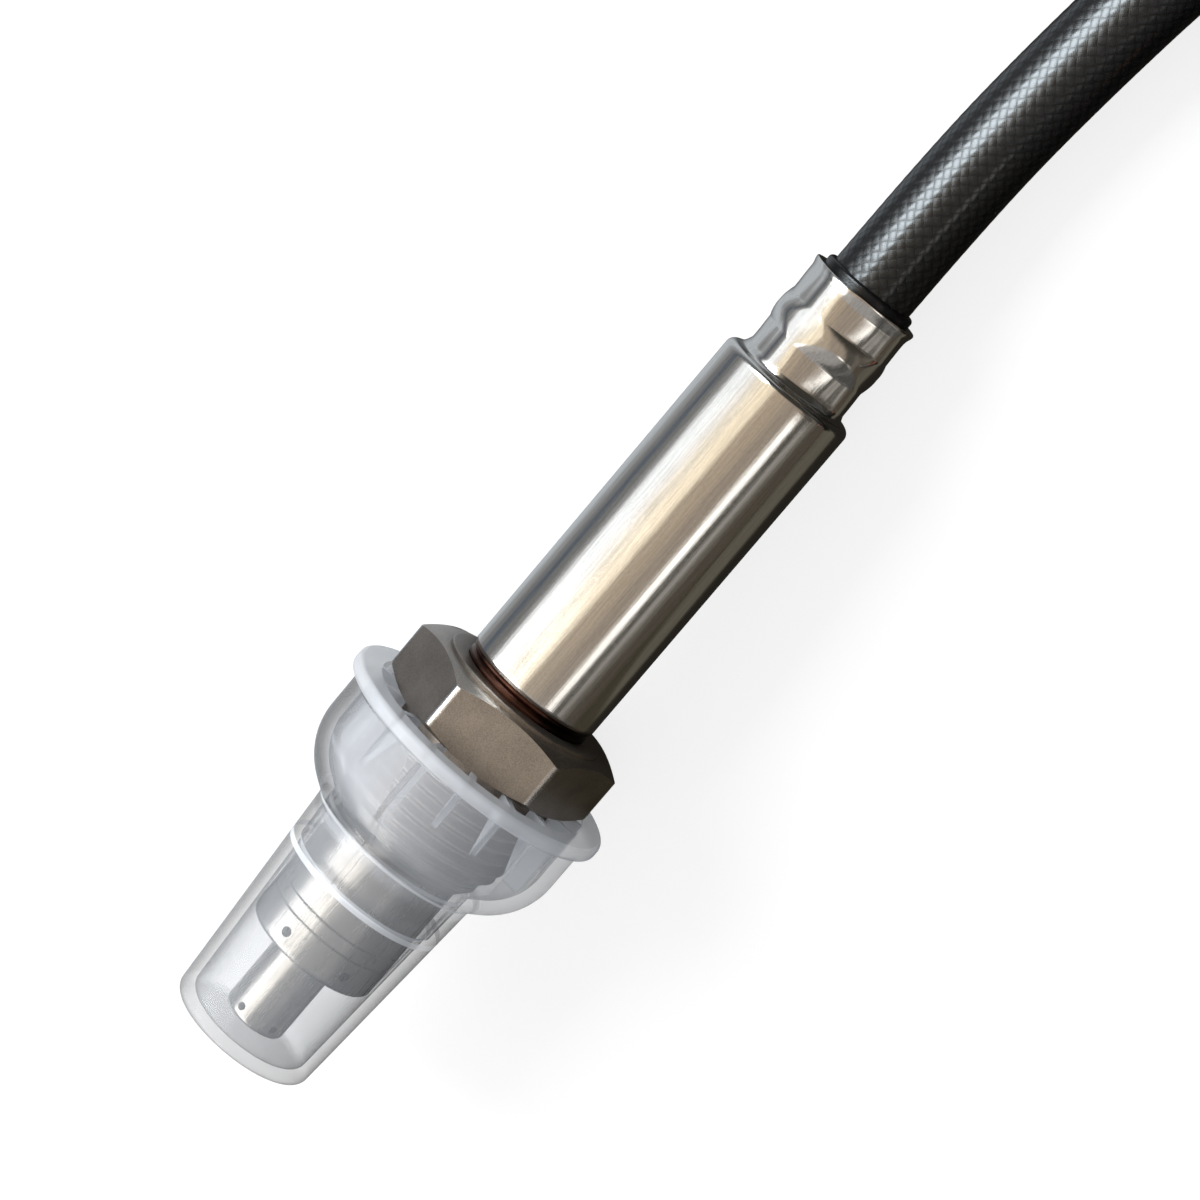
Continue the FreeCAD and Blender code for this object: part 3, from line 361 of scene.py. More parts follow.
def nut_finish(colours):
    """Dull machined steel, worn bright along the hexagon's corners, with a painted highlight making the corners on its
    left side brighter than those on its right.
    """
    finish = Finish("nut_steel")
    at = finish.places()
    cloud = finish.noise(at, 260.0, 4.0)
    grain = finish.noise(at, 6400.0, 4.0, 0.75)
    rings = finish.noise(finish.stretched(at, (1.0, 0.02, 0.02)), 9000.0, 2.0)
    dark = tuple(0.68 * c for c in colours.nut)
    light = tuple(min(1.0, 1.25 * c) for c in colours.nut)
    y, z = finish.part_of(at, 1), finish.part_of(at, 2)
    corners = ((y * y + z * z) ** 0.5 + cloud * 0.00008).between(0.01249, 0.01258)
    # Partly wear and partly painted highlight: the corners are paler, more so on the left side than on the right.
    corner_wear_and_highlight = corners * (y.between(-0.004, 0.004) * 0.4 + 0.6)
    steel = finish.blend((cloud * 0.3 + grain * 0.7).between(0.3, 0.7), dark, light)
    return finish.surface({
        "Base Color": finish.blend(corner_wear_and_highlight, steel, (0.86, 0.85, 0.84)),
        "Metallic": 1.0,
        "Roughness": grain * 0.20 + cloud * 0.06 + 0.22 - corner_wear_and_highlight * 0.12,
        "Normal": finish.bump(grain * 0.8 + rings * 0.2, 0.00006, 0.6),
    })


def shell_finish(colours):
    """Turned steel, brown beside the weld, with painted shade turning the brown almost black on its right side."""
    finish = Finish("shell_steel")
    at = finish.places()
    x = finish.part_of(at, 0)
    tinted = x.between(0.004, 0.0066)
    rings = finish.noise(finish.stretched(at, (1.0, 0.02, 0.02)), 7000.0, 2.0)
    cloud = finish.noise(at, 500.0, 3.0)
    tint = finish.blend(cloud.between(0.35, 0.65), tuple(0.35 * c for c in colours.tint), tuple(colours.tint))
    # Painted shade: the heat tint is darkened almost to black on the right side.
    right_side_painted_shade = finish.part_of(at, 1).between(-0.0052, -0.0010)
    tint = finish.blend(right_side_painted_shade, tuple(0.08 * c for c in colours.tint), tint)
    steel = finish.blend(rings, (0.30, 0.29, 0.27), (0.48, 0.46, 0.44))
    return finish.surface({
        "Base Color": finish.blend(tinted, steel, tint),
        "Metallic": 1.0,
        "Roughness": rings * 0.16 + 0.22,
        "Normal": finish.bump(rings, 0.00005, 0.5),
    })


def sleeve_finish(colours):
    """Polished steel with fine drawing streaks, brown at its foot."""
    finish = Finish("sleeve_steel")
    at = finish.places()
    x = finish.part_of(at, 0)
    streaks = finish.noise(finish.stretched(at, (0.04, 1.0, 1.0)), 5200.0, 3.0, 0.6)
    waves = finish.noise(finish.stretched(at, (0.3, 1.0, 1.0)), 300.0, 2.0, 0.5)
    specks = finish.noise(at, 3400.0, 3.0, 0.7)
    smear = finish.noise(at, 120.0, 3.0)
    foot = 1 - x.between(0.0083, 0.0089)
    grain = (specks * 0.35 + streaks * 0.65).between(0.32, 0.68)
    steel = finish.blend(grain, tuple(0.84 * c for c in colours.sleeve), tuple(colours.sleeve))
    return finish.surface({
        "Base Color": finish.blend(foot * 0.7, steel, tuple(colours.tint)),
        "Metallic": 1.0,
        "Roughness": smear * 0.07 + specks * 0.06 + streaks * 0.05 + 0.06,
        "Normal": finish.bump(waves * 0.6 + streaks * 0.24 + specks * 0.16, 0.000018, 1.0),
    })


def tube_finish():
    """Satin drawn steel."""
    finish = Finish("tube_steel")
    at = finish.places()
    drawn = finish.noise(finish.stretched(at, (0.06, 1.0, 1.0)), 2400.0, 3.0)
    cloud = finish.noise(at, 420.0, 3.0)
    return finish.surface({
        "Base Color": finish.blend(cloud, (0.34, 0.33, 0.31), (0.52, 0.50, 0.48)),
        "Metallic": 1.0,
        "Roughness": drawn * 0.18 + 0.20,
        "Normal": finish.bump(drawn, 0.00004, 0.5),
    })


def cap_finish(colours):
    """Milky moulding: clear where it faces the view, cloudy at its edges, flange, rings and fins, with its bell painted
    milkier on the left as light and clearer on the right as shade.
    """
    finish = Finish("cap_plastic")
    at = finish.places()
    x, y, z = (finish.part_of(at, axis) for axis in range(3))
    radius = (y * y + z * z) ** 0.5
    flow = finish.noise(finish.stretched(at, (0.35, 1.0, 1.0)), 160.0, 3.0)
    fine = finish.noise(at, 2600.0, 2.0)
    facing = finish.node("ShaderNodeLayerWeight", {}, {"Blend": 0.5}, 1)
    flange = x.between(-0.0021, -0.0014)
    fins = x.between(-0.0090, -0.0080) * (1 - radius.between(0.0126, 0.0129))
    rings = band(x, -0.0194, -0.0187, 0.0001) + band(x, -0.0139, -0.0133, 0.0002)
    cloudy = flange.maths("MAXIMUM", fins).maths("MAXIMUM", rings)
    bell = x.between(-0.0155, -0.0145)
    # Painted shade and light: the bell's right side is made clearer, without the darker edge colour, and its left side
    # milkier.
    right = bell * (1 - y.between(-0.006, 0.0))
    haze_and_painted_side_light = facing ** 2.2 * (0.50 - right * 0.22) + flow * 0.10 + 0.12
    haze_and_painted_side_light = haze_and_painted_side_light + bell * (y.between(-0.006, 0.008) * 0.12 + 0.07)
    edge = facing.between(0.3, 0.7) * (1 - right)
    thin = finish.blend(edge, tuple(0.76 * c for c in colours.cap), tuple(0.10 * c for c in colours.cap))
    milky = finish.blend(flange, tuple(colours.cap), tuple(0.78 * c for c in colours.cap))
    return finish.surface({
        "Base Color": finish.blend(cloudy, thin, milky),
        "Roughness": flow * 0.08 + fine * 0.05 + 0.12,
        "IOR": 1.49,
        "Alpha": haze_and_painted_side_light.maths("MAXIMUM", cloudy * 0.62),
        "Normal": finish.bump(flow * 0.8 + fine * 0.2, 0.00008, 0.35),
    })


def rubber_finish():
    """Black moulded rubber with a little dust."""
    finish = Finish("grommet_rubber")
    at = finish.places()
    grain = finish.noise(at, 3200.0, 4.0, 0.7)
    dust = finish.noise(at, 300.0, 4.0)
    return finish.surface({
        "Base Color": finish.blend(dust.between(0.55, 0.8), (0.005, 0.005, 0.006), (0.016, 0.015, 0.014)),
        "Roughness": grain * 0.16 + 0.14,
        "Specular IOR Level": 0.3,
        "Normal": finish.bump(grain, 0.00004, 0.5),
    })


def braid_weave(finish, turns, steps):
    """Height of the braid, 0 to 1, from turns round the lead and steps along it, both in strands."""
    first, second = steps + turns, steps - turns
    u = first.maths("FRACT") - 0.5
    v = second.maths("FRACT") - 0.5
    odd = ((first.maths("FLOOR") + second.maths("FLOOR")) * 0.5).maths("FRACT") * 2
    over = (v * math.pi).maths("COSINE") * (1 - u * u * 1.8)
    under = (u * math.pi).maths("COSINE") * (1 - v * v * 1.8)
    threads = (u * math.pi * 5).maths("COSINE").maths("ABSOLUTE") * (1 - odd)
    crossing = (v * math.pi * 5).maths("COSINE").maths("ABSOLUTE") * odd
    return over * (1 - odd) + under * odd + (threads + crossing) * 0.12


def braid_finish(colours, sizes):
    """Glossy black braid: lighter on its strands and darker between them, the dark being painted shade in the gaps."""
    finish = Finish("cable_braid")
    around = finish.node("ShaderNodeUVMap", {"uv_map": "round_and_along"})
    turns = finish.part_of(around, 0) * sizes.braid_count
    steps = finish.part_of(around, 1) * (1.0 / sizes.braid_step)
    weave = braid_weave(finish, turns, steps)
    fuzz = finish.noise(finish.node("ShaderNodeTexCoord", output=3), 2400.0, 3.0)
    light = tuple(1.9 * c for c in colours.braid)
    return finish.surface({
        # Painted shade: the colour darkens where the weave is low, between the strands.
        "Base Color": finish.blend(weave.between(0.2, 1.0), tuple(0.4 * c for c in colours.braid), light),
        "Roughness": 0.34 - weave * 0.10 + fuzz * 0.10,
        "Specular IOR Level": 0.35,
        "Coat Weight": weave.between(0.3, 0.9) * 0.35 + 0.25,
        "Coat Roughness": 0.14,
        "Normal": finish.bump(weave * 0.9 + fuzz * 0.1, 0.000042, 0.8),
    })


def moulded_finish(name, colour, roughness, grain_scale, grain_depth, metallic=0.0, spread=0.18):
    """Fired, moulded or rolled piece: uneven colour and a fine grain."""
    finish = Finish(name)
    at = finish.places()
    cloud = finish.noise(at, grain_scale * 0.12, 4.0)
    grain = finish.noise(at, grain_scale, 4.0, 0.65)
    low = tuple(c * (1 - spread) for c in colour)
    high = tuple(min(1.0, c * (1 + spread)) for c in colour)
    return finish.surface({
        "Base Color": finish.blend((cloud * 0.6 + grain * 0.4).between(0.3, 0.7), low, high),
        "Metallic": metallic,
        "Roughness": grain * 0.16 + roughness,
        "Normal": finish.bump(grain, grain_depth, 0.6),
    })


def strap_finish():
    """Woven strap: rows of warp and weft."""
    finish = Finish("tie_fabric")
    around = finish.node("ShaderNodeUVMap", {"uv_map": "round_and_along"})
    warp = (finish.part_of(around, 0) * (math.pi * 16)).maths("SINE")
    weft = (finish.part_of(around, 1) * (math.pi * 170)).maths("SINE")
    weave = (warp * weft) * 0.5 + 0.5
    fuzz = finish.noise(finish.node("ShaderNodeTexCoord", output=3), 3000.0, 4.0, 0.7)
    return finish.surface({
        "Base Color": finish.blend(weave * 0.7 + fuzz * 0.3, (0.012, 0.012, 0.013), (0.05, 0.05, 0.052)),
        "Roughness": fuzz * 0.2 + 0.62,
        "Sheen Weight": 0.25,
        "Normal": finish.bump(weave * 0.8 + fuzz * 0.2, 0.00015, 0.8),
    })


# Colour, roughness, scale and depth of the grain, metallic, and spread of the colour.
PLAIN_FINISHES = {
    "spring_steel": ((0.55, 0.55, 0.56), 0.24, 2600.0, 0.00003, 1.0, 0.12),
    "contact_metal": ((0.75, 0.62, 0.35), 0.22, 2600.0, 0.00003, 1.0, 0.14),
    "element_ceramic": ((0.86, 0.86, 0.83), 0.42, 3600.0, 0.00003, 0.0, 0.06),
    "packing_ceramic": ((0.84, 0.80, 0.72), 0.62, 2400.0, 0.00006, 0.0, 0.08),
    "holder_ceramic": ((0.82, 0.79, 0.74), 0.58, 2400.0, 0.00006, 0.0, 0.08),
    "talc": ((0.78, 0.78, 0.76), 0.78, 3000.0, 0.00010, 0.0, 0.12),
    "wire_insulation": ((0.62, 0.13, 0.09), 0.34, 1800.0, 0.00002, 0.0, 0.10),
    "connector_plastic": ((0.024, 0.024, 0.026), 0.44, 2800.0, 0.00007, 0.0, 0.25),
    "latch_plastic": ((0.40, 0.41, 0.43), 0.42, 2800.0, 0.00006, 0.0, 0.08),
    "seal_rubber": ((0.62, 0.20, 0.06), 0.36, 1800.0, 0.00003, 0.0, 0.10),
}


# ---- operators ----


class PROBE_OT_nut(bpy.types.Operator):
    """Turn the free nut: hexagon with rounded edges and its cut thread"""
    bl_idname = "probe.nut"
    bl_label = "Nut"

    def execute(self, context):
        sizes = context.scene.nut_sizes
        half = sizes.across_flats / 2
        thread_end, groove_x, run_out_length = -0.0106, -0.0015, 0.0012
        bore, groove_radius, collar, collar_rise = 0.0074, 0.0090, 0.0094, 0.0004
        thread_chamfer, face_edge, chamfer_lip = 0.0008, 0.0002, 0.00008
        sector = np.radians([
            0, 5, 10, 14, 18, 21, 24, 26, 27.4, 28.4, 29.0, 29.3, 29.6, 29.8,
            30, 30.2, 30.4, 30.7, 31.0, 31.6, 32.6, 34, 36, 39, 42, 46, 50, 55,
        ])
        turn = sizes.turn + np.concatenate([sector + math.radians(60 * i) for i in range(6)] + [[2 * math.pi]])
        from_corner = np.abs((turn - sizes.turn) % math.radians(60) - math.radians(30))
        flat = half / np.cos(math.radians(30) - from_corner)
        middle = (half - sizes.corner_round) / math.cos(math.radians(30))
        aside = middle * np.sin(from_corner)
        rounded = aside < sizes.corner_round / 2
        inside = np.maximum(sizes.corner_round ** 2 - aside ** 2, 0)
        edge = np.where(rounded, middle * np.cos(from_corner) + np.sqrt(inside), flat)
        slope = math.tan(math.radians(28))
        drop = (edge - half) * slope
        still = np.zeros_like(turn)
        start_radius = sizes.thread_radius - thread_chamfer
        rows = [(still + thread_end, still + bore), (still + thread_end, still + start_radius)]
        profile = (
            (0.0, 0.0), (0.13, 0.0), (0.26, 0.3), (0.44, 0.85), (0.52, 1.0), (0.66, 1.0), (0.74, 0.85), (0.92, 0.3),
        )
        crests = int(-thread_end / sizes.pitch) + 2
        for crest in range(-1, crests):
            for share, sunk in profile:
                x = thread_end + (crest + share + (turn - sizes.turn) / (2 * math.pi)) * sizes.pitch
                run_out = np.clip((groove_x - x) / run_out_length, 0, 1)
                radius = sizes.thread_radius - sizes.thread_depth * sunk * run_out ** 0.5
                radius = np.minimum(radius, start_radius + np.clip(x - thread_end, 0, 1))
                rows.append((np.clip(x, thread_end, groove_x), radius))
        rows += [(still + groove_x, still + groove_radius), (still, still + groove_radius)]
        rows.append((still, still + half - face_edge))
        for share in (0.0, 0.5, 1.0):
            rows.append((drop * share + chamfer_lip * (1 - share), half + (edge - half) * share))
        for share in (1.0, 0.5, 0.0):
            rows.append((sizes.height - drop * share - chamfer_lip * (1 - share), half + (edge - half) * share))
        top = sizes.height + collar_rise
        rows += [
            (still + sizes.height, still + half - face_edge), (still + sizes.height, still + collar),
            (still + top - 0.0001, still + collar), (still + top, still + collar - 0.0001), (still + top, still + bore),
        ]
        points = np.array([on_probe(x, radius, turn) for x, radius in rows])
        faces = grid_faces(len(rows), len(turn), True, False)
        nut = made_piece("union_nut_threaded", points, faces, nut_finish(context.scene.finish_colours), "nut")
        welded(nut)
        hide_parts("union_nut")
        return {"FINISHED"}


# Rows of pockets in the neck: start, end, radius of the floor, and slope of the far side.
POCKET_ROWS = ((0.0005, 0.0042, 0.00555, 1.4), (0.0070, 0.0106, 0.00563, 3.5))
NEAR_SLOPE = 1.4
POCKET_ROUND = 0.00045
FOLD_DEPTH = 0.0001
JAW_REACH = 1.0


class PROBE_OT_sleeve(bpy.types.Operator):
    """Draw the sleeve and press the jaws into its neck"""
    bl_idname = "probe.sleeve"
    bl_label = "Sleeve"

    def execute(self, context):
        sizes = context.scene.sleeve_sizes
        foot, shoulder, end = 0.00832, 0.04832, 0.05972
        foot_break, wall, bore = 0.00012, 0.0005, 0.0054
        lip, lip_start, lip_rise = 0.00016, end - 0.0009, 0.0006
        turn = np.radians(np.arange(0, 360, 1.5))
        bend = sizes.shoulder_round
        root = sizes.radius - sizes.neck_radius - bend
        rows = [(foot, sizes.radius - foot_break), (foot + foot_break, sizes.radius)]
        rows += [(x, sizes.radius) for x in np.linspace(foot + 0.0006, shoulder - bend, 24)]
        for a in np.radians(np.linspace(7.5, 90, 12)):
            rows.append((shoulder - bend + bend * math.sin(a), sizes.radius - bend + bend * math.cos(a)))
        for a in np.radians(np.linspace(15, 90, 6)):
            rows.append((shoulder + root - root * math.cos(a), sizes.neck_radius + root - root * math.sin(a)))
        rows += [(x, sizes.neck_radius) for x in np.arange(shoulder + root + 0.0001, lip_start, 0.00013)]
        for share in np.linspace(0, 1, 6):
            rows.append((lip_start + lip_rise * share, sizes.neck_radius + lip * share * share * (3 - 2 * share)))
        rows += [(end - 0.00012, sizes.neck_radius + lip), (end, sizes.neck_radius + lip - 0.00014)]
        outer = len(rows)
        rows += [(end, bore + 0.0001), (end - 0.0001, bore), (shoulder - wall, bore)]
        rows += [(shoulder - wall, sizes.radius - 0.0016), (shoulder - 0.0016, sizes.radius - wall)]
        rows += [(foot, sizes.radius - wall)]
        x = np.array([r[0] for r in rows])[:, None] + 0 * turn
        radius = np.array([r[1] for r in rows])[:, None] + 0 * turn
        pressed = radius[:outer].copy()
        along = x[:outer] - shoulder
        for low, high, floor, far_slope in POCKET_ROWS:
            before, beyond = (low + POCKET_ROUND - along) / NEAR_SLOPE, (along - high + POCKET_ROUND) / far_slope
            outside = np.maximum(np.maximum(before, beyond), 0)
            for jaw in range(sizes.jaws):
                aside = (turn - sizes.jaw_turn - jaw * 2 * math.pi / sizes.jaws + math.pi) % (2 * math.pi) - math.pi
                reach = np.cos(np.clip(aside, -1.2, 1.2))
                fold = FOLD_DEPTH * np.exp(-((aside - math.radians(21)) / math.radians(7)) ** 2)
                bar = (floor + outside) / reach ** 0.75 - fold
                bar = bar + np.where(np.abs(aside) > JAW_REACH, 0.002, 0)
                pressed = np.where(along > 0.0001, soft_least(pressed, bar, sizes.crimp_softness), pressed)
        neck = np.clip(along / 0.001, 0, 1)
        pressed = pressed + np.where(along > 0, 0.00025 * np.exp(-along / 0.0004), 0)
        radius[:outer] = pressed + 0.00004 * neck * np.sin(5 * turn + 1.3) * np.sin(along / 0.0009)
        points = on_probe(x, radius, turn[None, :] + 0 * x)
        faces = grid_faces(len(rows), len(turn), True, True)
        sleeve = made_piece("sleeve_crimped", points, faces, sleeve_finish(context.scene.finish_colours), "probe", 50.0)
        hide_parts("sleeve")
        return {"FINISHED"}


class PROBE_OT_shell(bpy.types.Operator):
    """Finish the shell, the gas tubes and the grommet"""
    bl_idname = "probe.shell"
    bl_label = "Shell and gas tubes"

    def execute(self, context):
        colours = context.scene.finish_colours
        dress("housing", shell_finish(colours))
        steel = tube_finish()
        dress("outer_protection_tube", steel)
        dress("inner_protection_tube", steel)
        dress("grommet", rubber_finish())
        return {"FINISHED"}


class PROBE_OT_cap(bpy.types.Operator):
    """Finish the milky cap"""
    bl_idname = "probe.cap"
    bl_label = "Cap"

    def execute(self, context):
        dress("protective_cap", cap_finish(context.scene.finish_colours))
        return {"FINISHED"}


class PROBE_OT_inside(bpy.types.Operator):
    """Finish the ceramics, contacts and wires inside, and the connector's pieces"""
    bl_idname = "probe.inside"
    bl_label = "Inner pieces and connector"

    def execute(self, context):
        made = {slot: moulded_finish(slot, *facts) for slot, facts in PLAIN_FINISHES.items()}
        for node, slot in SLOT_OF.items():
            if slot in made:
                dress(node, made[slot])
        dress("connector_boot", frame["nodes"]["grommet"].data.materials[0])
        return {"FINISHED"}


def route_points(sizes):
    """The lead's route in metres: from the grommet to the coil, round it, and up into the boot."""
    spots = [Vector(EXIT)]
    first_run = (EXIT.z - LYING_HEIGHT) / math.tan(TILT) / MM
    for dx, dy in ((first_run, 0.0), (28.0, -0.95), (46.0, -3.0), (64.0, -7.3), (80.0, -13.2), (92.4, -19.6)):
        spots.append(Vector((EXIT.x + dx * MM, EXIT.y + dy * MM, LYING_HEIGHT)))
    centre = Vector(COIL_CENTRE)
    start = math.radians(COIL_START_DEG)
    step = math.radians(15)
    radius = sizes.coil_radius / math.cos(step / 2) ** 0.67
    rise_from, rise_to, boot_from, boot_to = 18, 24, 31, 35
    for k in range(1, boot_to + 1):
        angle = start - k * step
        climb = min(1.0, max(0.0, (k - rise_from) / (rise_to - rise_from)))
        climb = climb * climb * (3 - 2 * climb)
        lift = sizes.diameter * climb
        if k > boot_from:
            lift += BOOT_LIFT * (k - boot_from) / (boot_to - boot_from)
        spots.append(Vector((
            centre.x + radius * math.cos(angle), centre.y + radius * math.sin(angle), LYING_HEIGHT + lift
        )))
    spots.append(Vector(BOOT_START))
    heading = math.radians(COIL_START_DEG - 180 - 90)
    spots.append(Vector(BOOT_START) + Vector((math.cos(heading), math.sin(heading), 0)) * 0.003)
    return spots


def smooth_line(points):
    """The route's NURBS curve, read as points close together."""
    curve = bpy.data.curves.new("lead_route", "CURVE")
    curve.dimensions = "3D"
    curve.resolution_u = 24
    spline = curve.splines.new("NURBS")
    spline.points.add(len(points) - 1)
    for spot, point in zip(points, spline.points):
        point.co = (*spot, 1.0)
    spline.order_u = 3
    spline.use_endpoint_u = True
    holder = bpy.data.objects.new("lead_route", curve)
    bpy.context.scene.collection.objects.link(holder)
    bpy.context.view_layer.update()
    mesh = bpy.data.meshes.new_from_object(holder.evaluated_get(bpy.context.evaluated_depsgraph_get()))
    line = np.array([v.co for v in mesh.vertices])
    bpy.data.objects.remove(holder)
    bpy.data.curves.remove(curve)
    bpy.data.meshes.remove(mesh)
    return line


def along_line(line, distances):
    """Points, directions and level sideways directions at distances along a line."""
    legs = np.linalg.norm(np.diff(line, axis=0), axis=1)
    travelled = np.concatenate([[0], np.cumsum(legs)])
    spots = np.stack([np.interp(distances, travelled, line[:, i]) for i in range(3)], 1)
    ahead = np.gradient(spots, axis=0)
    ahead /= np.linalg.norm(ahead, axis=1)[:, None]
    side = np.cross(ahead, (0, 0, 1.0))
    side /= np.linalg.norm(side, axis=1)[:, None]
    return spots, side, np.cross(side, ahead)


def woven_height(first, second):
    """The braid's height where its two sets of strands cross, 0 to 1."""
    u, v = first % 1 - 0.5, second % 1 - 0.5
    odd = (np.floor(first) + np.floor(second)) % 2
    over = np.cos(math.pi * v) * (1 - 1.8 * u * u)
    under = np.cos(math.pi * u) * (1 - 1.8 * v * v)
    return np.where(odd > 0.5, under, over)


class PROBE_OT_lead(bpy.types.Operator):
    """Lay the braided lead along its route and round its coil"""
    bl_idname = "probe.lead"
    bl_label = "Braided lead"

    def execute(self, context):
        sizes = context.scene.lead_sizes
        line = smooth_line(route_points(sizes))
        length = float(np.linalg.norm(np.diff(line, axis=0), axis=1).sum())
        shown, fade = 0.100, 0.01
        fine, coarse = sizes.braid_step / 6, 0.0013
        distances = np.concatenate([np.arange(0, shown, fine), np.arange(shown, length, coarse), [length]])
        spots, side, up = along_line(line, distances)
        around = np.arange(sizes.braid_count * 4) / (sizes.braid_count * 4)
        turn = 2 * math.pi * around
        turns = around * sizes.braid_count
        steps = distances / sizes.braid_step
        height = woven_height(steps[:, None] + turns, steps[:, None] - turns)
        relief = sizes.braid_relief * np.clip((shown - distances) / fade, 0, 1)[:, None]
        radius = sizes.diameter / 2 - relief * (1 - height)
        points = (
            spots[:, None, :] + (radius * np.cos(turn))[..., None] * up[:, None, :]
            + (radius * np.sin(turn))[..., None] * side[:, None, :]
        )
        faces = grid_faces(len(distances), len(turn), False, True)
        lead = made_piece(
            "lead_braid", points, faces, braid_finish(context.scene.finish_colours, sizes), "probe", 80.0
        )
        self.mark(lead.data, around, distances)
        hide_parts("cable", "cable_coil")
        return {"FINISHED"}

    def mark(self, mesh, around, distances):
        """Stores turns round the lead and metres along it on the mesh."""
        marks = mesh.uv_layers.new(name="round_and_along")
        columns = len(around)
        spot = np.empty(len(mesh.loops), int)
        mesh.loops.foreach_get("vertex_index", spot)
        u = around[spot % columns]
        v = distances[spot // columns]
        start = np.empty(len(mesh.polygons), int)
        mesh.polygons.foreach_get("loop_start", start)
        corners = start[:, None] + np.arange(4)
        crosses = u[corners].max(1) - u[corners].min(1) > 0.5
        u[corners[crosses]] = np.where(u[corners[crosses]] < 0.5, u[corners[crosses]] + 1, u[corners[crosses]])
        marks.data.foreach_set("uv", np.stack([u, v], 1).astype(np.float32).ravel())


class PROBE_OT_strap(bpy.types.Operator):
    """Wrap the woven strap round the coil"""
    bl_idname = "probe.strap"
    bl_label = "Coil strap"

    def execute(self, context):
        sizes = context.scene.lead_sizes
        angle = math.radians(COIL_START_DEG - 95.0)
        outward = Vector((math.cos(angle), math.sin(angle), 0))
        sideways = Vector((-math.sin(angle), math.cos(angle), 0))
        middle = Vector(COIL_CENTRE) + outward * sizes.coil_radius
        under_lead, slack, wide, thickness, hem = 0.0012, 0.00028, 0.008, 0.00072, 0.00012
        middle.z = under_lead + sizes.diameter
        half_width = sizes.diameter / 2 + slack
        half_height = sizes.diameter + slack
        loop = []
        corner = half_width * 0.6
        for quarter, (cx, cz) in enumerate(((1, 1), (-1, 1), (-1, -1), (1, -1))):
            bend_x, bend_z = cx * (half_width - corner), cz * (half_height - corner)
            for a in np.radians(np.linspace(0, 90, 10)) + quarter * math.pi / 2:
                loop.append((bend_x + corner * math.cos(a), bend_z + corner * math.sin(a)))
        loop = np.array(loop)
        ahead = np.roll(loop, -1, 0) - np.roll(loop, 1, 0)
        out = np.stack([ahead[:, 1], -ahead[:, 0]], 1)
        out /= np.linalg.norm(out, axis=1)[:, None]
        widths = np.linspace(-1, 1, 9)
        shell = []
        for sign in (1, -1):
            for w in (widths if sign > 0 else widths[::-1]):
                thick = 0.00009 + thickness * (sign > 0)
                edge = hem * (abs(w) > 0.99) * sign
                shell.append((w * wide / 2, thick - edge))
        rows = []
        for offset, thick in shell:
            ring = loop + out * thick
            rows.append([
                middle + outward * p[0] + Vector((0, 0, 1)) * p[1] + sideways * offset for p in ring
            ])
        points = np.array(rows)
        faces = grid_faces(len(rows), len(loop), True, True)
        strap = made_piece("coil_strap", points, faces, strap_finish(), "probe", 40.0)
        marks = strap.data.uv_layers.new(name="round_and_along")
        travelled = np.concatenate([[0], np.cumsum(np.linalg.norm(np.diff(loop, axis=0), axis=1))])
        for polygon in strap.data.polygons:
            for index in polygon.loop_indices:
                vertex = strap.data.loops[index].vertex_index
                across = shell[vertex // len(loop)][0] / wide + 0.5
                marks.data[index].uv = (across, travelled[vertex % len(loop)] * 14)
        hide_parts("coil_tie")
        return {"FINISHED"}


# Walls round the probe that its metal mirrors: each starts at an angle, with an edge as wide, and
# has a colour. Degrees are counted round the probe's axis, from above towards its right side.
WALLS = (
    (-91.0, 3.0, (0.30, 0.30, 0.30)), (-79.5, 4.0, (1.16, 1.21, 1.24)), (-57.0, 5.0, (1.09, 1.06, 1.02)),
    (-44.5, 4.0, (0.99, 0.89, 0.72)), (-31.0, 3.0, (1.17, 1.01, 0.76)), (-12.5, 2.5, (0.49, 0.40, 0.30)),
    (12.0, 5.0, (0.37, 0.31, 0.25)), (45.5, 2.0, (0.09, 0.083, 0.072)), (64.5, 2.5, (0.17, 0.155, 0.13)),
    (72.0, 3.0, (0.085, 0.072, 0.057)),
)
DARK_WALL = (0.045, 0.041, 0.034)
# Lamps between the walls: start and end angle, edge, and colour or strength.
THIN_LAMPS = ((35.5, 45.5, 2.0, (1.9, 1.86, 1.78)), (57.0, 64.5, 2.0, (0.42, 0.40, 0.37)))
CAP_LAMP = (-75.0, -20.0, 6.0, 4.2)
# Tones of the mirror card, painted reflections on the probe's left side: each comes in between two distances from its
# axis.
CARD_TONES = (
    (0.006, 0.012, (0.52, 0.56, 0.60)), (0.018, 0.024, (0.33, 0.34, 0.35)), (0.028, 0.036, (0.21, 0.215, 0.22)),
    (0.045, 0.058, (0.11, 0.132, 0.168)), (0.085, 0.12, (0.20, 0.205, 0.205)),
)
# Painted shade: the card's tone right beside and under the probe.
CARD_PAINTED_SHADE = (0.02, 0.018, 0.015)
LAMPS = (("key_lamp", (0.02, 0.50, 0.42), 0.35, 4.2), ("fill_lamp", (-0.10, -0.20, 0.60), 0.45, 0.9))
LAMP_AIM = (0.0, 0.0, 0.01)
STRIP_COLOUR = (0.84, 0.94, 1.0, 1.0)
STRIP_STRENGTH = 17.0
STRIP_SHEET = ((0.075, 0.0417, 0.049), (0.0225, 0, 0), (0, 0.0108, -0.0104))


def band(value, start, end, edge):
    """1 between start and end and 0 elsewhere, with soft edges."""
    return value.between(start - edge, start + edge) * (1 - value.between(end - edge, end + edge))


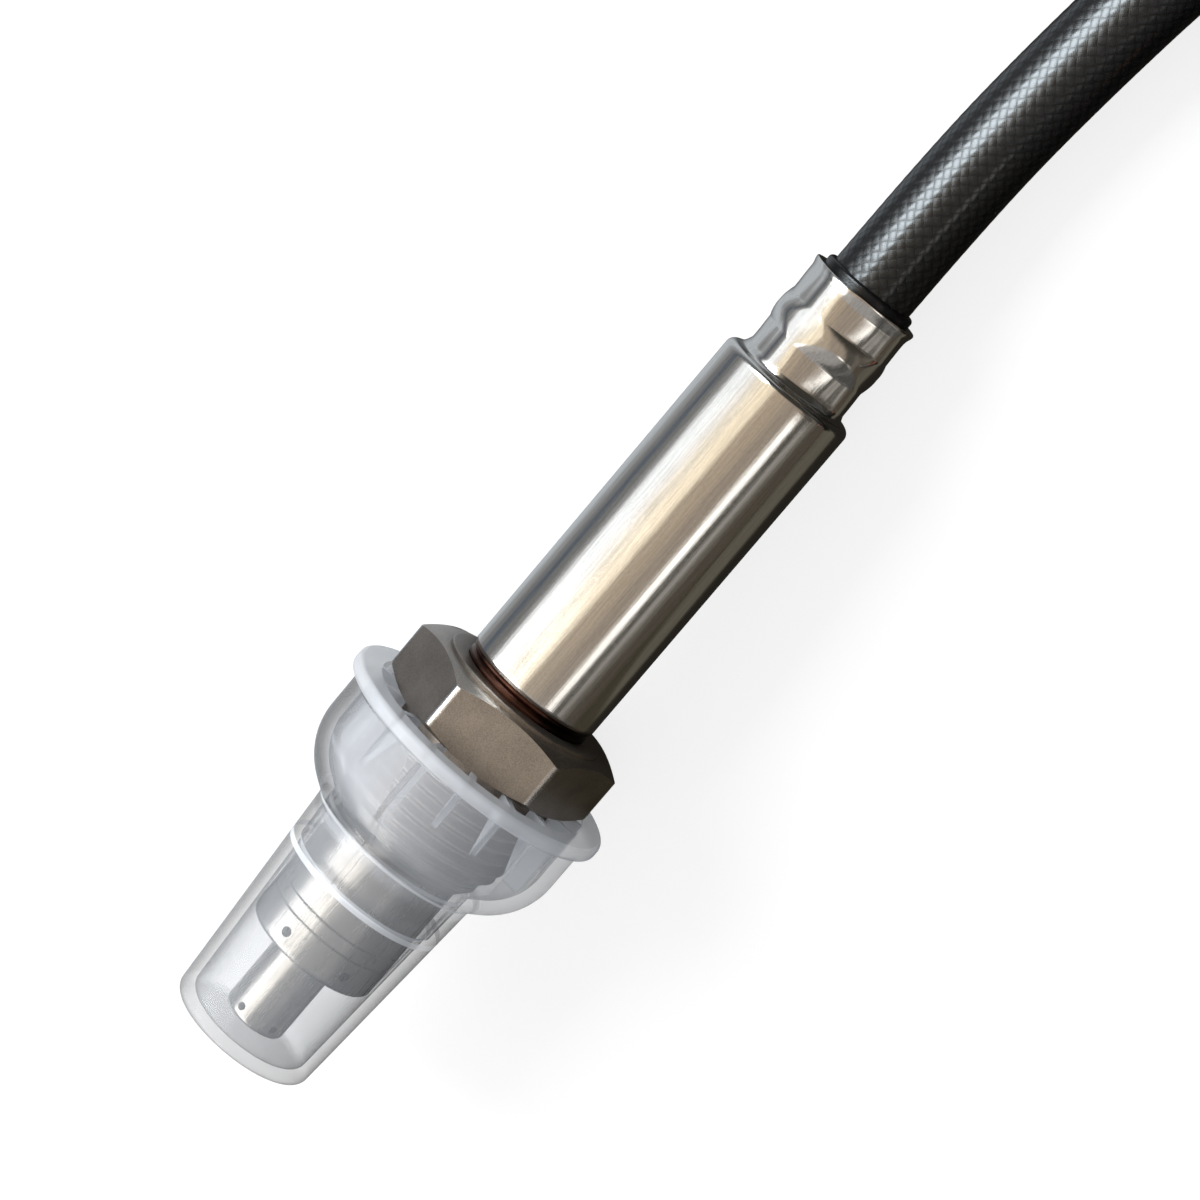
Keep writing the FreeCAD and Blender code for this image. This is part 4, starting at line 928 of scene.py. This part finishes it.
def studio_walls(context):
    """World: pale all round, white behind the object, and strips of wall and lamp for its metal to mirror."""
    world = bpy.data.worlds.new("studio")
    context.scene.world = world
    finish = Finish("studio", world)
    facing = finish.node("ShaderNodeTexCoord", output=0)
    turned = finish.node(
        "ShaderNodeMapping", {"vector_type": "TEXTURE"}, {"Vector": facing, "Rotation": (0.0, TILT, 0.0)}
    )
    ahead, left, up = (finish.part_of(turned, axis) for axis in range(3))
    angle = (left * -1).maths("ARCTAN2", up) * (180 / math.pi)
    walls = DARK_WALL
    for start, edge, colour in WALLS:
        walls = finish.blend(angle.between(start - edge, start + edge), walls, colour)
    for start, end, edge, colour in THIN_LAMPS:
        walls = finish.blend(band(angle, start, end, edge) * band(ahead, -0.24, -0.084, 0.006), walls, colour)
    pale = finish.node("ShaderNodeHueSaturation", {}, {"Saturation": 0.25, "Color": walls})
    walls = finish.blend(ahead.between(-0.256, -0.244), pale, walls)
    walls = finish.blend(ahead.between(0.42, 0.72), walls, DARK_WALL)
    start, end, edge, strength = CAP_LAMP
    lamp = band(angle, start, end, edge) * (1 - ahead.between(-0.268, -0.248))
    mirrored = finish.node(
        "ShaderNodeBackground", {}, {"Color": walls, "Strength": lamp * strength + 1.0}
    )
    seen, passed, glossy = finish.light_path("Is Camera Ray", "Is Transmission Ray", "Is Glossy Ray")
    soft = left.between(-0.7, 0.7) * 0.62 + 0.14
    strength = seen.maths("MAXIMUM", passed).maths("MAXIMUM", soft)
    plain = finish.node("ShaderNodeBackground", {}, {"Color": (1.0, 1.0, 1.0, 1.0), "Strength": strength})
    both = finish.node("ShaderNodeMixShader", {}, {0: glossy, 1: plain, 2: mirrored})
    finish.node_out("ShaderNodeOutputWorld", both)


def floor_finish():
    """Pale floor that is white behind the object and keeps its shadow."""
    finish = Finish("floor_paint")
    seen, glossy, passed = finish.light_path("Is Camera Ray", "Is Glossy Ray", "Is Transmission Ray")
    white = seen.maths("MAXIMUM", glossy).maths("MAXIMUM", passed)
    paper = finish.node("ShaderNodeBsdfDiffuse", {}, {"Color": (0.82, 0.82, 0.81, 1.0)})
    faint = finish.node("ShaderNodeBsdfDiffuse", {}, {"Color": (0.30, 0.30, 0.30, 1.0)})
    glow = finish.node("ShaderNodeEmission", {}, {"Color": (1.0, 1.0, 1.0, 1.0), "Strength": 0.76})
    lit = finish.node("ShaderNodeAddShader", {}, {0: faint, 1: glow})
    both = finish.node("ShaderNodeMixShader", {}, {0: white, 1: paper, 2: lit})
    finish.node_out("ShaderNodeOutputMaterial", both)
    return finish.owner


def card_finish():
    """Glowing card that only mirrors see, painting the metal's reflections: pale on the probe's left side and dark on
    its right, where the dark tones are painted shade.
    """
    finish = Finish("grey_card")
    at = finish.node("ShaderNodeTexCoord", output=3)
    x, y = (finish.part_of(at, axis) for axis in range(2))
    tone = CARD_PAINTED_SHADE
    for start, end, colour in CARD_TONES:
        tone = finish.blend(y.between(start, end), tone, colour)
    # Painted shade on the right side: darker below x = -8 mm, lighter beside the sleeve, and near black past x = 50 mm.
    right = finish.blend(x.between(-0.010, -0.006), (0.058, 0.05, 0.034), (0.125, 0.115, 0.09))
    right = finish.blend(x.between(0.046, 0.056), right, (0.008, 0.008, 0.006))
    tone = finish.blend(1 - y.between(-0.033, -0.026), tone, right)
    return glowing(finish, tone, 1.0)


def glowing(finish, colour, strength):
    """Material that shines by itself."""
    glow = finish.node("ShaderNodeEmission", {}, {"Color": colour, "Strength": strength})
    finish.node_out("ShaderNodeOutputMaterial", glow)
    return finish.owner


def soft_lamp(name, place, size, power):
    """Square lamp that lights the probe but doesn't show in its metal."""
    lamp = bpy.data.lights.new(name, "AREA")
    lamp.shape = "SQUARE"
    lamp.size = size
    lamp.energy = power
    holder = bpy.data.objects.new(name, lamp)
    holder.location = place
    holder.rotation_euler = (Vector(LAMP_AIM) - Vector(place)).to_track_quat("-Z", "Y").to_euler()
    holder.visible_glossy = False
    bpy.context.scene.collection.objects.link(holder)


def sheet(name, middle, along, across, material, seen=True):
    """Flat sheet from its middle and its two half sides. One that isn't seen only shows in mirrors."""
    middle, along, across = (np.array(v) for v in (middle, along, across))
    corners = [middle - along - across, middle + along - across, middle + along + across, middle - along + across]
    mesh = bpy.data.meshes.new(name)
    mesh.from_pydata([c.tolist() for c in corners], [], [(0, 1, 2, 3)])
    mesh.materials.append(material)
    made = bpy.data.objects.new(name, mesh)
    bpy.context.scene.collection.objects.link(made)
    for ray in () if seen else ("camera", "diffuse", "transmission", "shadow", "volume_scatter"):
        setattr(made, "visible_" + ray, False)


class PROBE_OT_stage(bpy.types.Operator):
    """Set the floor, the walls, the lamps and the camera"""
    bl_idname = "probe.stage"
    bl_label = "Floor, light and camera"

    def execute(self, context):
        sizes = context.scene.stage_sizes
        context.scene.view_settings.view_transform = "Standard"
        studio_walls(context)
        sheet("floor", (0, 0, -0.00005), (4.0, 0, 0), (0, 4.0, 0), floor_finish())
        sheet("mirror_card", (0, 0, 0.00002), (3.9, 0, 0), (0, 3.9, 0), card_finish(), False)
        strip = glowing(Finish("strip_lamp"), STRIP_COLOUR, STRIP_STRENGTH)
        sheet("lead_strip", *STRIP_SHEET, strip, False)
        for lamp in LAMPS:
            soft_lamp(*lamp)
        self.aim(context, sizes)
        return {"FINISHED"}

    def aim(self, context, sizes):
        """Camera over the probe, leaning towards its lead and turned as the picture is."""
        back = (ABOVE * math.cos(sizes.view_tilt) + ALONG * math.sin(sizes.view_tilt)).normalized()
        aimed = ORIGIN + ALONG * sizes.aim_x + ACROSS * sizes.aim_y
        level = (ALONG - back * ALONG.dot(back)).normalized()
        down = -ACROSS
        slope = sizes.view_turn
        right = level * math.cos(slope) + down * math.sin(slope)
        up = level * math.sin(slope) - down * math.cos(slope)
        camera = bpy.data.cameras.new("camera")
        camera.lens = sizes.lens
        camera.sensor_width = 36.0
        camera.clip_start = 0.01
        camera.clip_end = 20.0
        holder = bpy.data.objects.new("camera", camera)
        place = aimed + back * sizes.distance
        holder.matrix_world = Matrix((
            (right.x, up.x, back.x, place.x), (right.y, up.y, back.y, place.y),
            (right.z, up.z, back.z, place.z), (0, 0, 0, 1),
        ))
        context.scene.collection.objects.link(holder)
        context.scene.camera = holder


class PROBE_PT_panel(bpy.types.Panel):
    """Lists the sizes, colours and steps of the gas probe"""
    bl_label = "Gas probe"
    bl_idname = "PROBE_PT_panel"
    bl_space_type = "VIEW_3D"
    bl_region_type = "UI"
    bl_category = "Gas probe"

    def draw(self, context):
        for name in GROUPS:
            group = getattr(context.scene, name)
            box = self.layout.box()
            box.label(text=name.replace("_", " ").capitalize())
            for key in group.__annotations__:
                box.prop(group, key)
        for step in STEPS:
            self.layout.operator(step.bl_idname)


GROUPS = {
    "nut_sizes": NutSizes, "sleeve_sizes": SleeveSizes, "lead_sizes": LeadSizes,
    "finish_colours": FinishColours, "stage_sizes": StageSizes,
}
STEPS = (
    PROBE_OT_nut, PROBE_OT_sleeve, PROBE_OT_shell, PROBE_OT_cap, PROBE_OT_inside,
    PROBE_OT_strap, PROBE_OT_lead, PROBE_OT_stage,
)


def register():
    for group in GROUPS.values():
        bpy.utils.register_class(group)
    for step in STEPS:
        bpy.utils.register_class(step)
    bpy.utils.register_class(PROBE_PT_panel)
    for name, group in GROUPS.items():
        setattr(bpy.types.Scene, name, bpy.props.PointerProperty(type=group))


def unregister():
    for name in GROUPS:
        delattr(bpy.types.Scene, name)
    bpy.utils.unregister_class(PROBE_PT_panel)
    for step in reversed(STEPS):
        bpy.utils.unregister_class(step)
    for group in reversed(list(GROUPS.values())):
        bpy.utils.unregister_class(group)


def main():
    register()
    bpy.ops.probe.nut()
    bpy.ops.probe.sleeve()
    bpy.ops.probe.shell()
    bpy.ops.probe.cap()
    bpy.ops.probe.inside()
    bpy.ops.probe.strap()
    bpy.ops.probe.lead()
    bpy.ops.probe.stage()


if __name__ == "__main__":
    main()
